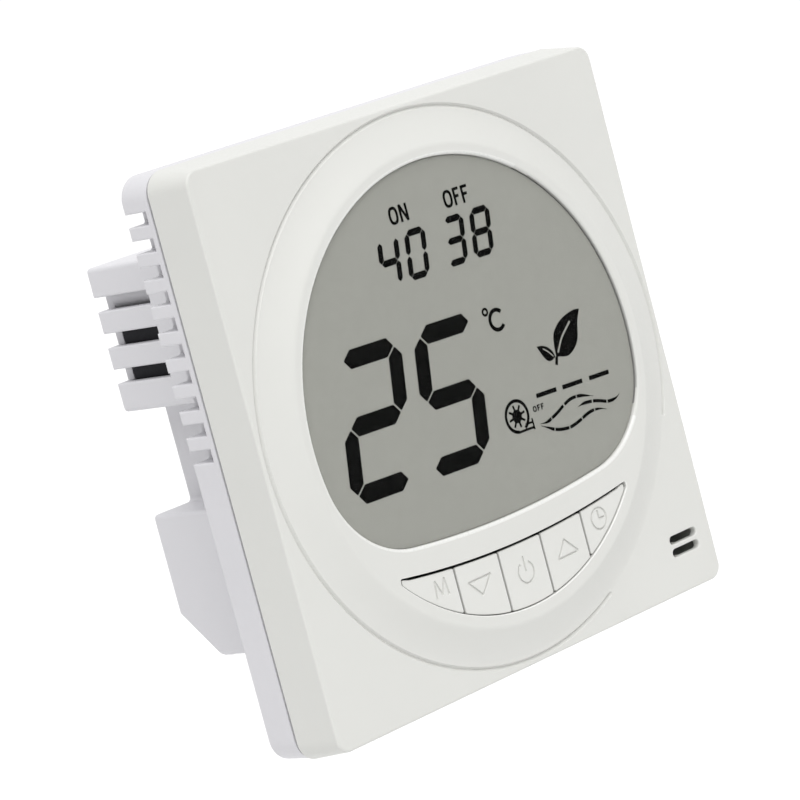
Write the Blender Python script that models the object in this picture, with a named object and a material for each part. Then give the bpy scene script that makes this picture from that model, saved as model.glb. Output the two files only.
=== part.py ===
"""Flush wall thermostat for an 86 mm wall box: a snap-off front panel with a round LCD window and
five keys, on a rear case whose 60 mm housing holds the mains board and goes into the wall.

Frame: metres, +Z up.  The origin is the centre of the wall plane between the two fixing slots.
The front faces -Y and the housing reaches +Y into the wall box.
"""
import math

import bmesh
import bpy
import numpy as np
from mathutils import Matrix, Vector

MM = 0.001
GAP = 0.3                     # clearance between pieces that touch, in millimetres

# ---------------------------------------------------------------- driving dimensions (millimetres)
PLATE_HALF = 43.0             # half of the 86 mm front plate, at the parting line
PLATE_CORNER = 3.3            # its corner radius
CREASE_HALF = 42.15           # the same where the drafted side meets the face
CREASE_CORNER = 2.2
CREASE_FILLET = 0.4
FACE_Y = -13.6                # plane of the front face
PARTING_Y = -6.0              # rear edge of the front cover
WALL_Y = 0.0                  # wall plane: rear face of the rear case's flange
REAR_Y = 27.7                 # rear face of the housing
COVER_WALL = 2.0              # wall thickness of the front cover

DIAL_RADIUS = 40.8            # foot of the concave ring around the window
RIDGE_RADIUS = 35.4           # top of that ring
PLATFORM_RISE = 1.95          # height of the platform inside the ridge
PLATFORM_Y = FACE_Y - PLATFORM_RISE
POCKET_RADIUS = 36.0          # pocket behind the platform
INNER_FACE_Y = FACE_Y + COVER_WALL
POCKET_Y = PLATFORM_Y + COVER_WALL
DIAL_PROFILE = ((34.0, PLATFORM_Y), (RIDGE_RADIUS, PLATFORM_Y + 0.1), (36.8, FACE_Y - 1.25),
                (38.4, FACE_Y - 0.65), (39.8, FACE_Y - 0.2), (DIAL_RADIUS, FACE_Y + 0.05),
                (DIAL_RADIUS - 0.5, FACE_Y + 0.6))
HOOK_X = 20.0                 # snap hooks of the front cover
HOOK_HALF = 3.5
HOOK_PROFILE = ((-9.0, 39.2), (-3.0, 39.2), (-3.0, 40.5), (-3.6, 40.9), (-4.4, 40.4), (-7.0, 40.4),
                (-7.0, 41.6), (-9.0, 41.6))

WINDOW_RADIUS = 33.75         # LCD window
WINDOW_BOTTOM = -19.7         # lowest point of its lower edge
WINDOW_SAG_RADIUS = 167.0     # radius of the lower edge
WINDOW_BLEND = 15.2           # corner radius between the two
LENS_Y = (-15.05, -14.65)     # front and back of the thin window plate
GLASS_Y = (-14.35, -11.9)     # the LCD's front plate fills the window, its rear plate is wider
GLASS_RADIUS = 35.2
GLASS_REAR_STEP = 0.5
GLASS_BOTTOM = -20.6          # level lower edges of the parts behind the window
LIGHT_FRONT_Y = -11.0
LIGHT_RADIUS = 34.6
LIGHT_BOTTOM = -16.8
FRAME_RADIUS = 38.6
FRAME_BOTTOM = -22.3
FRAME_BORE = 35.5
FRAME_BORE_BOTTOM = -20.9
ZEBRA_HALF = 25.0
ZEBRA_Z = (-20.0, -17.6)

KEY_TOP = -23.75              # key opening: middle of its upper edge
KEY_SAG_RADIUS = 165.0        # radius of that edge
KEY_RADIUS = 33.2             # lower edge, about the dial's centre
KEY_DIVIDERS = (-13.8, -4.6, 4.6, 13.8)
KEY_TIP_HEIGHT = 1.2          # height left at the blunted ends of the opening
KEY_FACE_Y = PLATFORM_Y + 0.25
KEY_RIM_Y = (POCKET_Y + GAP, POCKET_Y + 1.1)
KEY_RIM_GROWTH = 0.8
KEY_POST_RADIUS = 1.5
KEY_NAMES = ("mode_key", "down_key", "power_key", "up_key", "clock_key")
SWITCH_PLACES = ((-17.6, -26.6), (-9.2, -27.6), (0.0, -28.0), (9.2, -27.6), (17.6, -26.6))
SWITCH_HALF = 3.0
SWITCH_HEIGHT = 2.4
PLUNGER_RADIUS = 1.7

AIR_SLOT_X = (32.8, 38.7)     # the two air slots of the front face
AIR_SLOT_Z = (-33.9, -35.9)
AIR_SLOT_HEIGHT = 1.0

FLANGE_HALF = 42.8            # rear case flange
FLANGE_CORNER = 3.75
FLANGE_FRONT_Y = -5.65
FLANGE_WALL = 1.6
FLANGE_FLOOR = 2.0
HOUSING_HALF = 30.0           # 60 mm housing
HOUSING_WALL = 1.5
LUG_Z = (-7.9, 8.0)           # side recesses that clear the wall box lugs
LUG_X = 22.4
CHAMFER = 7.2                 # slope at the rear bottom edge of the housing
COMB_TOP = 37.0               # comb vents of the flange
COMB_PITCH = 3.82
COMB_COUNT = 10
COMB_HEIGHT = 1.85
COMB_FRONT_Y = -4.0
COMB_DEPTH = 3.4
COMB_BACKING = 1.1            # material left in front of the notches and inboard of them
HOUSING_VENT_Z = (24.45, 18.95, 13.5)
HOUSING_VENT_HEIGHT = 2.1
HOUSING_VENT_FRONT_Y = 15.1
HOUSING_VENT_WRAP = 2.4
FIXING_X = 30.0               # the two wall screw slots, 60 mm apart
FIXING_WIDTH = 4.4
FIXING_LENGTH = 8.0

POST_PLACES = ((-25.4, 25.2), (25.4, 25.2), (-25.4, -13.2), (25.4, -13.2))
POST_RADIUS = 2.7
POST_BORE = 1.4
POST_BORE_DEPTH = 11.0
POWER_BOARD_Y = (8.5, 10.1)
BEHIND_BOARD_Y = POWER_BOARD_Y[1] + GAP
BOARD_MARGIN = 0.4
BARRIER_Y = (-3.8, -2.3)
BARRIER_HALF = 29.5
BARRIER_NOTCH = (24.0, -9.5, 9.5)
BARRIER_LEG_RADIUS = 3.1
CASE_SCREW_PROFILE = ((1.3, -3.4), (2.1, -3.1), (2.2, -1.8), (1.1, -1.7), (1.1, 19.6), (0.4, 20.6))

CONTROL_BOARD_Y = (-7.9, -6.3)
BOARD_HALF = 36.5
BOARD_FRONT_Y = CONTROL_BOARD_Y[0] - GAP    # where the parts on its two sides begin
BOARD_REAR_Y = CONTROL_BOARD_Y[1] + GAP
BOSS_PLACE = 33.4             # cover bosses, in both directions
BOSS_RADIUS = 2.6
BOSS_BORE = 1.3
COVER_SCREW_PROFILE = ((0.3, -4.6), (1.0, -4.0), (1.0, 0.0), (2.1, 0.1), (1.9, 1.1), (1.2, 1.4))
CHIP_PLACE = (-16.0, 14.0)
CHIP_HALF = 5.0
SOUNDER = ((20.0, 16.0), 4.5, 1.8)          # place, radius, height
BACKUP_CELL = ((18.0, -14.0), 5.0, 1.6)
SENSOR_PLACE = (34.0, -28.6)
SENSOR_PROFILE = ((0.6, -2.4), (1.2, -2.0), (1.3, -1.0), (0.8, 0.0))

RELAY_WIDTH = 10.1
RELAY_DEPTH = 15.5
RELAYS = {"low_fan_relay": (-28.1, -13.1, 10.7), "medium_fan_relay": (13.1, 28.1, 10.7),
          "high_fan_relay": (-19.8, -0.8, -7.4), "valve_relay": (0.8, 19.8, -7.4)}
CORE_PLACE = (-3.2, 19.0)     # transformer core, across and up
CORE_HALF = 3.5
CORE_DEPTH = (1.0, 13.0)      # behind the power board
CORE_WINDOW = (1.4, 5.0)      # its two windows: half of the middle leg, and their far side
CORE_LEG = 2.0
WINDING_HALF = 6.0
CAPACITORS = (("supply_capacitor", (8.6, 23.0), 4.0, 13.0, "nickel"),
              ("output_capacitor", (17.0, 24.9), 3.1, 11.0, "black_plastic"))
VARISTOR = ((-15.5, -13.2), 5.0, 2.0)       # place, radius, half of its thickness
FUSE = ((14.0, -13.2), 1.9, 5.0)

TERMINAL_COUNT = 8
TERMINAL_PITCH = 6.0
TERMINAL_HALF = 25.0
TERMINAL_TOP = -17.5
WELL_RADIUS = 2.1
WELL_DEPTH = 6.6
ENTRY_HALF = 1.7
ENTRY_Y = (16.1, 19.3)
ENTRY_DEPTH = 7.0
TERMINAL_SCREW_PROFILE = ((1.6, 0.9), (1.8, 1.1), (1.8, 2.6), (1.2, 2.8), (1.2, 6.1))
SCREW_SLOT = (0.35, 1.7)      # half width, and depth from the slope

PIN_COUNT = 8
PIN_PITCH = 2.54
PIN_HALF = 0.32
PIN_END_Y = 4.5
HEADER_Z = 3.0
HEADER_HALF = 1.25
SOCKET_HALF = 1.6
SOCKET_BORE = 0.65

COLOURS = {
    "warm_plastic": ((0.80, 0.80, 0.77), 0.45, 0.0),
    "cool_plastic": ((0.74, 0.75, 0.77), 0.45, 0.0),
    "clear_acrylic": ((0.75, 0.77, 0.74), 0.05, 0.0),
    "lcd_glass": ((0.34, 0.345, 0.315), 0.25, 0.0),
    "diffuser": ((0.85, 0.87, 0.88), 0.35, 0.0),
    "board_green": ((0.02, 0.16, 0.06), 0.40, 0.0),
    "black_plastic": ((0.015, 0.015, 0.018), 0.40, 0.0),
    "terminal_green": ((0.04, 0.30, 0.12), 0.45, 0.0),
    "zebra_rubber": ((0.55, 0.45, 0.52), 0.70, 0.0),
    "nickel": ((0.70, 0.69, 0.66), 0.28, 1.0),
    "ferrite": ((0.06, 0.06, 0.065), 0.60, 0.0),
    "winding_tape": ((0.62, 0.48, 0.06), 0.50, 0.0),
    "blue_epoxy": ((0.03, 0.12, 0.45), 0.45, 0.0),
    "ceramic": ((0.55, 0.48, 0.36), 0.40, 0.0),
}


# ---------------------------------------------------------------- outlines: (x, z) points, counter-
# clockwise as seen from the front
def arc(centre, radius, start, stop, steps):
    """Points on an arc, both ends included; angles in degrees from +x towards +z."""
    angles = np.radians(np.linspace(start, stop, steps + 1))
    return [(centre[0] + radius * math.cos(a), centre[1] + radius * math.sin(a)) for a in angles]


def circle(centre, radius, steps):
    return arc(centre, radius, 0.0, 360.0, steps)[:-1]


def rectangle(x0, x1, z0, z1):
    return [(x0, z0), (x1, z0), (x1, z1), (x0, z1)]


def rounded_square(half, radius, steps=5):
    inner = half - radius
    corners = ((inner, inner, 0), (-inner, inner, 90), (-inner, -inner, 180), (inner, -inner, 270))
    return [p for x, z, a in corners for p in arc((x, z), radius, a, a + 90, steps)]


def slot(x0, x1, z, height, steps=5):
    """A slot with round ends, lying along x."""
    r = height / 2
    return arc((x1 - r, z), r, -90, 90, steps) + arc((x0 + r, z), r, 90, 270, steps)


def window_outline(offset=0.0, steps=12):
    """The LCD window: a circle cut off by a shallow arc, its corners blended; offset grows it."""
    big = WINDOW_RADIUS + offset
    blend = WINDOW_BLEND + offset
    sag = WINDOW_SAG_RADIUS + offset
    sag_centre = WINDOW_BOTTOM + WINDOW_SAG_RADIUS
    to_big = big - blend
    to_sag = sag - blend
    z = (to_big ** 2 - to_sag ** 2 + sag_centre ** 2) / (2 * sag_centre)
    x = math.sqrt(to_big ** 2 - z ** 2)
    high = math.degrees(math.atan2(z, x))
    low = math.degrees(math.atan2(z - sag_centre, x))
    return (arc((0, 0), big, high, 180 - high, 4 * steps)
            + arc((-x, z), blend, 180 - high, 180 - low, steps)[1:]
            + arc((0, sag_centre), sag, -180 - low, low, steps)[1:]
            + arc((x, z), blend, low, high, steps)[1:-1])


def key_top(x, offset=0.0):
    """Height of the key opening's upper edge."""
    radius = KEY_SAG_RADIUS + offset
    return KEY_TOP + KEY_SAG_RADIUS - math.sqrt(radius ** 2 - x ** 2)


def key_bottom(x, offset=0.0):
    return -math.sqrt((KEY_RADIUS + offset) ** 2 - x ** 2)


def key_tip(offset=0.0):
    """Where the two edges of the key opening meet, a little blunted."""
    low, high = 0.0, KEY_RADIUS
    for _ in range(40):
        x = (low + high) / 2
        if key_top(x, -offset) - key_bottom(x, offset) > KEY_TIP_HEIGHT:
            low = x
        else:
            high = x
    return low


def key_outline(x0, x1, offset=0.0, steps=6):
    """Part of the key opening between two heights x0 and x1; offset grows its curved edges."""
    xs = np.linspace(x0, x1, steps + 1)
    return [(x, key_bottom(x, offset)) for x in xs] + [(x, key_top(x, -offset)) for x in xs[::-1]]


# ---------------------------------------------------------------- solids
def mesh_from(bm, name):
    bmesh.ops.recalc_face_normals(bm, faces=bm.faces)
    mesh = bpy.data.meshes.new(name)
    bm.to_mesh(mesh)
    bm.free()
    return mesh


def loft(levels, name="loft"):
    """A closed solid through outlines of equal length, given as (y, outline) from front to back."""
    bm = bmesh.new()
    rings = [[bm.verts.new((x * MM, y * MM, z * MM)) for x, z in outline] for y, outline in levels]
    for ring, after in zip(rings, rings[1:]):
        for i in range(len(ring)):
            j = (i + 1) % len(ring)
            bm.faces.new((ring[i], ring[j], after[j], after[i]))
    bm.faces.new(rings[0][::-1])
    bm.faces.new(rings[-1])
    return mesh_from(bm, name)


def slab(outline, y0, y1):
    return loft([(y0, outline), (y1, outline)])


def block(x0, x1, y0, y1, z0, z1):
    return slab(rectangle(x0, x1, z0, z1), y0, y1)


def prism_x(profile, x0, x1):
    """An outline of (y, z) points carried along x."""
    bm = bmesh.new()
    near = [bm.verts.new((x0 * MM, y * MM, z * MM)) for y, z in profile]
    far = [bm.verts.new((x1 * MM, y * MM, z * MM)) for y, z in profile]
    for i in range(len(near)):
        j = (i + 1) % len(near)
        bm.faces.new((near[i], near[j], far[j], far[i]))
    bm.faces.new(near[::-1])
    bm.faces.new(far)
    return mesh_from(bm, "prism")


def cylinder(centre, radius, y0, y1, steps=16):
    return slab(circle(centre, radius, steps), y0, y1)


def turned(profile, centre=(0.0, 0.0), steps=16):
    """A solid turned about the y direction: (radius, y) pairs from front to back."""
    return loft([(y, circle(centre, radius, steps)) for radius, y in profile])


def group(meshes):
    """Several closed meshes in one, for cutters and for union pieces."""
    bm = bmesh.new()
    for mesh in meshes:
        bm.from_mesh(mesh)
    joined = bpy.data.meshes.new("group")
    bm.to_mesh(joined)
    bm.free()
    return joined


def material(key):
    found = bpy.data.materials.get(key)
    if found:
        return found
    colour, roughness, metallic = COLOURS[key]
    made = bpy.data.materials.new(key)
    made.use_nodes = True
    shader = made.node_tree.nodes["Principled BSDF"]
    shader.inputs["Base Color"].default_value = (*colour, 1.0)
    shader.inputs["Roughness"].default_value = roughness
    shader.inputs["Metallic"].default_value = metallic
    return made


def add(name, mesh, finish, parent=None):
    obj = bpy.data.objects.new(name, mesh)
    bpy.context.scene.collection.objects.link(obj)
    mesh.name = name
    mesh.materials.clear()
    mesh.materials.append(material(finish))
    mesh.shade_smooth()
    mesh.set_sharp_from_angle(angle=math.radians(35))
    obj.parent = parent
    return obj


def combine(obj, mesh, operation):
    """Boolean with a helper object, which is hidden and left out of the build."""
    helper = bpy.data.objects.new(f"{obj.name}_{operation.lower()}", mesh)
    bpy.context.scene.collection.objects.link(helper)
    helper.hide_render = True
    helper.display_type = "WIRE"
    helper.parent = obj.parent
    step = obj.modifiers.new(operation.title(), "BOOLEAN")
    step.operation = operation
    step.solver = "EXACT"
    step.use_self = True
    step.object = helper
    return obj


def cut(obj, meshes):
    return combine(obj, group(meshes), "DIFFERENCE")


def join(obj, meshes):
    return combine(obj, group(meshes), "UNION")


def pivot(name, place=(0.0, 0.0, 0.0), parent=None):
    """An empty on a joint's axis."""
    empty = bpy.data.objects.new(name, None)
    empty.location = Vector(place) * MM
    bpy.context.scene.collection.objects.link(empty)
    empty.parent = parent
    return empty


# ---------------------------------------------------------------- front panel
def front_cover(panel):
    """The 86 mm front plate with its raised dial, window, key opening and air slots."""
    f = CREASE_FILLET
    outer = loft([(FACE_Y, rounded_square(CREASE_HALF - f, CREASE_CORNER - 0.75 * f)),
                  (FACE_Y + 0.3 * f, rounded_square(CREASE_HALF - 0.3 * f, CREASE_CORNER - 0.25 * f)),
                  (FACE_Y + f, rounded_square(CREASE_HALF, CREASE_CORNER)),
                  (PARTING_Y, rounded_square(PLATE_HALF, PLATE_CORNER))])
    cover = add("front_cover", outer, "warm_plastic", panel)
    join(cover, [turned(DIAL_PROFILE, steps=64)])
    inside = CREASE_HALF - COVER_WALL - GAP
    cut(cover, [loft([(INNER_FACE_Y, rounded_square(inside, CREASE_CORNER / 2)),
                      (PARTING_Y + 1, rounded_square(PLATE_HALF - COVER_WALL, PLATE_CORNER / 2))])])
    cut(cover, [cylinder((0, 0), POCKET_RADIUS, POCKET_Y, INNER_FACE_Y + 0.5, 48)])
    through = (PLATFORM_Y - 1, POCKET_Y + 1)
    tip = key_tip()
    cut(cover, [slab(window_outline(), *through), slab(key_outline(-tip, tip, steps=20), *through)])
    cut(cover, [slab(slot(*AIR_SLOT_X, z, AIR_SLOT_HEIGHT), FACE_Y - 1, INNER_FACE_Y + 1)
                for z in AIR_SLOT_Z])
    join(cover, cover_bosses() + snap_hooks())
    cut(cover, [cylinder(place, BOSS_BORE, CONTROL_BOARD_Y[0] - 3.4, CONTROL_BOARD_Y[0] + 1, 12)
                for place in boss_places()])


def boss_places():
    return [(x * BOSS_PLACE, z * BOSS_PLACE) for z in (1, -1) for x in (-1, 1)]


def cover_bosses():
    """Four screw bosses behind the face for the control board."""
    return [cylinder(place, BOSS_RADIUS, INNER_FACE_Y - 0.5, BOARD_FRONT_Y, 12)
            for place in boss_places()]


def snap_hooks():
    """Four hooks, two at the top and two at the bottom, that grip inside the rear case's rim."""
    return [prism_x([(y, side * z) for y, z in HOOK_PROFILE], x - HOOK_HALF, x + HOOK_HALF)
            for x in (-HOOK_X, HOOK_X) for side in (-1, 1)]


def lens(panel):
    """Clear window plate, bonded to the front of the LCD."""
    add("lcd_lens", slab(window_outline(-GAP), *LENS_Y), "clear_acrylic", panel)


def clipped_disc(radius, bottom, steps=40):
    """A disc whose lower part is cut off level."""
    angle = math.degrees(math.asin(bottom / radius))
    return arc((0, 0), radius, angle, 180 - angle, steps)


def display_stack(panel):
    """LCD glass, its backlight, the frame that holds them and the rubber contact strip."""
    glass = add("lcd_glass", slab(window_outline(-GAP), GLASS_Y[0], GLASS_Y[1] - GLASS_REAR_STEP),
                "lcd_glass", panel)
    join(glass, [slab(clipped_disc(GLASS_RADIUS, GLASS_BOTTOM), POCKET_Y + GAP, GLASS_Y[1])])
    add("backlight", slab(clipped_disc(LIGHT_RADIUS, LIGHT_BOTTOM), LIGHT_FRONT_Y, BOARD_FRONT_Y),
        "diffuser", panel)
    frame = add("lcd_frame", slab(clipped_disc(FRAME_RADIUS, FRAME_BOTTOM), INNER_FACE_Y + GAP,
                                  BOARD_FRONT_Y), "black_plastic", panel)
    cut(frame, [slab(clipped_disc(FRAME_BORE, FRAME_BORE_BOTTOM), INNER_FACE_Y - 1,
                     BOARD_FRONT_Y + 1)])
    add("zebra_strip", block(-ZEBRA_HALF, ZEBRA_HALF, GLASS_Y[1] + GAP, BOARD_FRONT_Y, *ZEBRA_Z),
        "zebra_rubber", panel)


def control_board(panel):
    """The front circuit board, with holes for its screws."""
    board = add("control_board", slab(rounded_square(BOARD_HALF, 2.0, 3), *CONTROL_BOARD_Y),
                "board_green", panel)
    cut(board, [cylinder(place, 1.5, CONTROL_BOARD_Y[0] - 1, CONTROL_BOARD_Y[1] + 1, 12)
                for place in boss_places()])


def pin_header(panel):
    """The strip of long pins that carries power and relay signals to the power board."""
    half = PIN_COUNT * PIN_PITCH / 2
    strip_y = (BOARD_REAR_Y, BARRIER_Y[0] - GAP)
    strip = block(-half, half, *strip_y, HEADER_Z - HEADER_HALF, HEADER_Z + HEADER_HALF)
    header = add("pin_header", strip, "black_plastic", panel)
    join(header, [block(x - PIN_HALF, x + PIN_HALF, strip_y[1] - 0.5, PIN_END_Y,
                        HEADER_Z - PIN_HALF, HEADER_Z + PIN_HALF) for x in pin_places()])


def pin_places():
    return [(i - (PIN_COUNT - 1) / 2) * PIN_PITCH for i in range(PIN_COUNT)]


def control_parts(panel):
    """What sits on the control board: controller chip, sounder, backup cell and air sensor."""
    x, z = CHIP_PLACE
    add("controller_chip", block(x - CHIP_HALF, x + CHIP_HALF, BOARD_REAR_Y, BOARD_REAR_Y + 1.5,
                                 z - CHIP_HALF, z + CHIP_HALF), "black_plastic", panel)
    for name, (place, radius, height), finish in (("sounder", SOUNDER, "black_plastic"),
                                                  ("backup_cell", BACKUP_CELL, "nickel")):
        add(name, cylinder(place, radius, BOARD_REAR_Y, BOARD_REAR_Y + height, 20), finish, panel)
    bead = turned([(radius, BOARD_FRONT_Y + y) for radius, y in SENSOR_PROFILE], SENSOR_PLACE, 10)
    add("air_sensor", bead, "black_plastic", panel)


def keys_and_switches(panel):
    """Five keys, each on its own slide, over five push switches with their own plungers."""
    tip = key_tip()
    lefts = [-tip + GAP] + [x + GAP / 2 for x in KEY_DIVIDERS]
    rights = [x - GAP / 2 for x in KEY_DIVIDERS] + [tip - GAP]
    for name, place, x0, x1 in zip(KEY_NAMES, SWITCH_PLACES, lefts, rights):
        key(name, place, x0, x1, panel)
        push_switch(name, place, panel)


def key(name, place, x0, x1, panel):
    """A key cap with the rim that keeps it behind the cover and the post over its switch."""
    x, z = place
    slide = pivot(f"{name}_slide", (x, KEY_FACE_Y, z), panel)
    cap = slab(key_outline(x0, x1, -GAP), KEY_FACE_Y, KEY_RIM_Y[1] - 0.2)
    rim = slab(key_outline(x0, x1, KEY_RIM_GROWTH), *KEY_RIM_Y)
    post = cylinder(place, KEY_POST_RADIUS, KEY_RIM_Y[1] - 0.3, KEY_RIM_Y[1] + 0.35, 12)
    behind = group([rim, post])
    for mesh in (cap, behind):
        mesh.transform(Matrix.Translation(-slide.location))
    join(add(name, cap, "warm_plastic", slide), [behind])


def push_switch(name, place, panel):
    """A 6 mm push switch on the control board and its plunger, which follows the key."""
    x, z = place
    front = BOARD_FRONT_Y - SWITCH_HEIGHT
    body = block(x - SWITCH_HALF, x + SWITCH_HALF, front, BOARD_FRONT_Y, z - SWITCH_HALF, z + SWITCH_HALF)
    case = add(name.replace("key", "switch"), body, "black_plastic", panel)
    cut(case, [cylinder(place, PLUNGER_RADIUS + GAP, front - 1, BOARD_FRONT_Y - 0.5, 12)])
    slide = pivot(f"{name}_plunger_slide", (x, front, z), panel)
    plunger = cylinder(place, PLUNGER_RADIUS, KEY_RIM_Y[1] + 0.65, BOARD_FRONT_Y - 1.4, 12)
    plunger.transform(Matrix.Translation(-slide.location))
    add(name.replace("key", "plunger"), plunger, "black_plastic", slide)


# ---------------------------------------------------------------- rear case
def notched_square(half, notch_x, notch_low, notch_high):
    """A square with a rectangular recess in its left and right sides."""
    return [(-half, -half), (half, -half), (half, notch_low), (notch_x, notch_low),
            (notch_x, notch_high), (half, notch_high), (half, half), (-half, half),
            (-half, notch_high), (-notch_x, notch_high), (-notch_x, notch_low), (-half, notch_low)]


def rear_case():
    """Flange with its rim and comb vents, and the 60 mm housing behind it, open to the front."""
    case = add("rear_case", slab(rounded_square(FLANGE_HALF, FLANGE_CORNER), FLANGE_FRONT_Y, WALL_Y),
               "cool_plastic")
    join(case, [slab(notched_square(HOUSING_HALF, LUG_X, *LUG_Z), -1.0, REAR_Y)])
    rim_inside = rounded_square(FLANGE_HALF - FLANGE_WALL, FLANGE_CORNER - FLANGE_WALL)
    cut(case, [slab(rim_inside, FLANGE_FRONT_Y - 1, -FLANGE_FLOOR)])
    cut(case, [slab(housing_inside(0.0), -FLANGE_FLOOR - 1, REAR_Y - HOUSING_WALL)])
    join(case, [cylinder(place, POST_RADIUS, BEHIND_BOARD_Y, REAR_Y - 1.0, 12)
                for place in POST_PLACES])
    cut(case, [cylinder(place, POST_BORE, BEHIND_BOARD_Y - 1, BEHIND_BOARD_Y + POST_BORE_DEPTH, 10)
               for place in POST_PLACES])
    cut(case, [slope_cutter(), terminal_window()] + housing_vents())
    join(case, slope_cheeks() + comb_backing())
    cut(case, comb_vents() + fixing_slots())


def housing_inside(margin):
    """Outline of the housing's cavity, drawn in by a margin."""
    t = HOUSING_WALL
    return notched_square(HOUSING_HALF - t - margin, LUG_X - t - margin,
                          LUG_Z[0] - t - margin, LUG_Z[1] + t + margin)


def slope_cutter():
    """Takes the 45 degree slope off the rear bottom edge."""
    low, back = -HOUSING_HALF, REAR_Y
    return prism_x([(back - CHAMFER, low - 1), (back + 1, low - 1), (back + 1, low + CHAMFER),
                    (back, low + CHAMFER), (back - CHAMFER, low)], -31, 31)


def slope_cheeks():
    """The housing's wall along the slope at each end, beside the terminal block."""
    low, back, t = -HOUSING_HALF, REAR_Y, HOUSING_WALL * 1.4
    profile = [(back - CHAMFER, low), (back, low + CHAMFER), (back, low + CHAMFER + t),
               (back - CHAMFER - t, low)]
    x0 = TERMINAL_HALF + GAP
    return [prism_x(profile, x0, HOUSING_HALF), prism_x(profile, -HOUSING_HALF, -x0)]


def terminal_window():
    """Opening in the bottom, slope and rear of the housing that the terminal block fills."""
    x = TERMINAL_HALF + GAP
    return block(-x, x, BEHIND_BOARD_Y - GAP, REAR_Y + 1, -HOUSING_HALF - 1, TERMINAL_TOP + GAP)


def housing_vents():
    """Three slots in each side of the upper housing, which turn the corner into its rear face."""
    cutters = []
    half = HOUSING_VENT_HEIGHT / 2
    wrap = HOUSING_HALF - HOUSING_VENT_WRAP
    for z in HOUSING_VENT_Z:
        for side in (-1, 1):
            side_x = sorted((side * (HOUSING_HALF - HOUSING_WALL - 0.2), side * (HOUSING_HALF + 1)))
            wrap_x = sorted((side * wrap, side * (HOUSING_HALF + 1)))
            outer = block(*side_x, HOUSING_VENT_FRONT_Y, REAR_Y - 1.0, z - half, z + half)
            corner = block(*wrap_x, REAR_Y - HOUSING_WALL - 0.2, REAR_Y + 1, z - half, z + half)
            cutters += [outer, corner]
    return cutters


def comb_backing():
    """Solid bars inside the flange's rim that give the comb notches their depth."""
    inner = PLATE_HALF - COMB_DEPTH - COMB_BACKING
    outer = FLANGE_HALF - FLANGE_WALL / 2
    low = COMB_TOP - (COMB_COUNT - 0.5) * COMB_PITCH
    return [block(*sorted((side * inner, side * outer)), COMB_FRONT_Y - 0.8, -FLANGE_FLOOR / 2,
                  low, COMB_TOP + 1.6) for side in (-1, 1)]


def comb_vents():
    """Ten notches in each side of the flange, open to the wall, with round inner ends."""
    cutters = []
    inner = PLATE_HALF - COMB_DEPTH
    for i in range(COMB_COUNT):
        z = COMB_TOP - i * COMB_PITCH
        right = slot(inner, PLATE_HALF + 4, z, COMB_HEIGHT, 4)
        left = [(-x, zz) for x, zz in right[::-1]]
        cutters += [slab(right, COMB_FRONT_Y, WALL_Y + 1), slab(left, COMB_FRONT_Y, WALL_Y + 1)]
    return cutters


def fixing_slots():
    """Upright slots for the two wall box screws."""
    r = FIXING_WIDTH / 2
    reach = FIXING_LENGTH / 2 - r
    slots = []
    for x in (-FIXING_X, FIXING_X):
        outline = arc((x, reach), r, 0, 180, 6) + arc((x, -reach), r, 180, 360, 6)
        slots.append(slab(outline, -FLANGE_FLOOR - 1, WALL_Y + 1))
    return slots


def barrier_plate():
    """Insulating plate between mains board and front panel, on four tubular legs."""
    piece = add("barrier_plate", slab(notched_square(BARRIER_HALF, *BARRIER_NOTCH), *BARRIER_Y),
                "black_plastic")
    leg_end = POWER_BOARD_Y[0] - GAP
    sink = BARRIER_Y[1] + 0.9                # floor of the recess for each screw's head
    join(piece, [cylinder(place, BARRIER_LEG_RADIUS, BARRIER_Y[1] - 0.5, leg_end, 12)
                 for place in POST_PLACES])
    cut(piece, [cylinder(place, BARRIER_LEG_RADIUS - 0.6, BARRIER_Y[0] - 1, sink, 12)
                for place in POST_PLACES])
    cut(piece, [cylinder(place, POST_BORE, sink - 0.6, leg_end + 1, 10) for place in POST_PLACES])
    x = PIN_COUNT * PIN_PITCH / 2 + 1.2
    z = SOCKET_HALF + 0.6
    cut(piece, [block(-x, x, BARRIER_Y[0] - 1, BARRIER_Y[1] + 1, HEADER_Z - z, HEADER_Z + z)])


def case_screws():
    """Four long screws through barrier plate and power board into the case posts."""
    for i, place in enumerate(POST_PLACES, 1):
        add(f"case_screw_{i}", turned(CASE_SCREW_PROFILE, place, 12), "nickel")


def cover_screws(panel):
    """Four short screws that hold the control board to the front cover."""
    profile = [(radius, BOARD_REAR_Y + y) for radius, y in COVER_SCREW_PROFILE]
    for i, place in enumerate(boss_places(), 1):
        add(f"cover_screw_{i}", turned(profile, place, 12), "nickel", panel)


def power_board():
    board = add("power_board", slab(housing_inside(BOARD_MARGIN), *POWER_BOARD_Y), "board_green")
    cut(board, [cylinder(place, 1.5, POWER_BOARD_Y[0] - 1, POWER_BOARD_Y[1] + 1, 10)
                for place in POST_PLACES])


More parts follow.
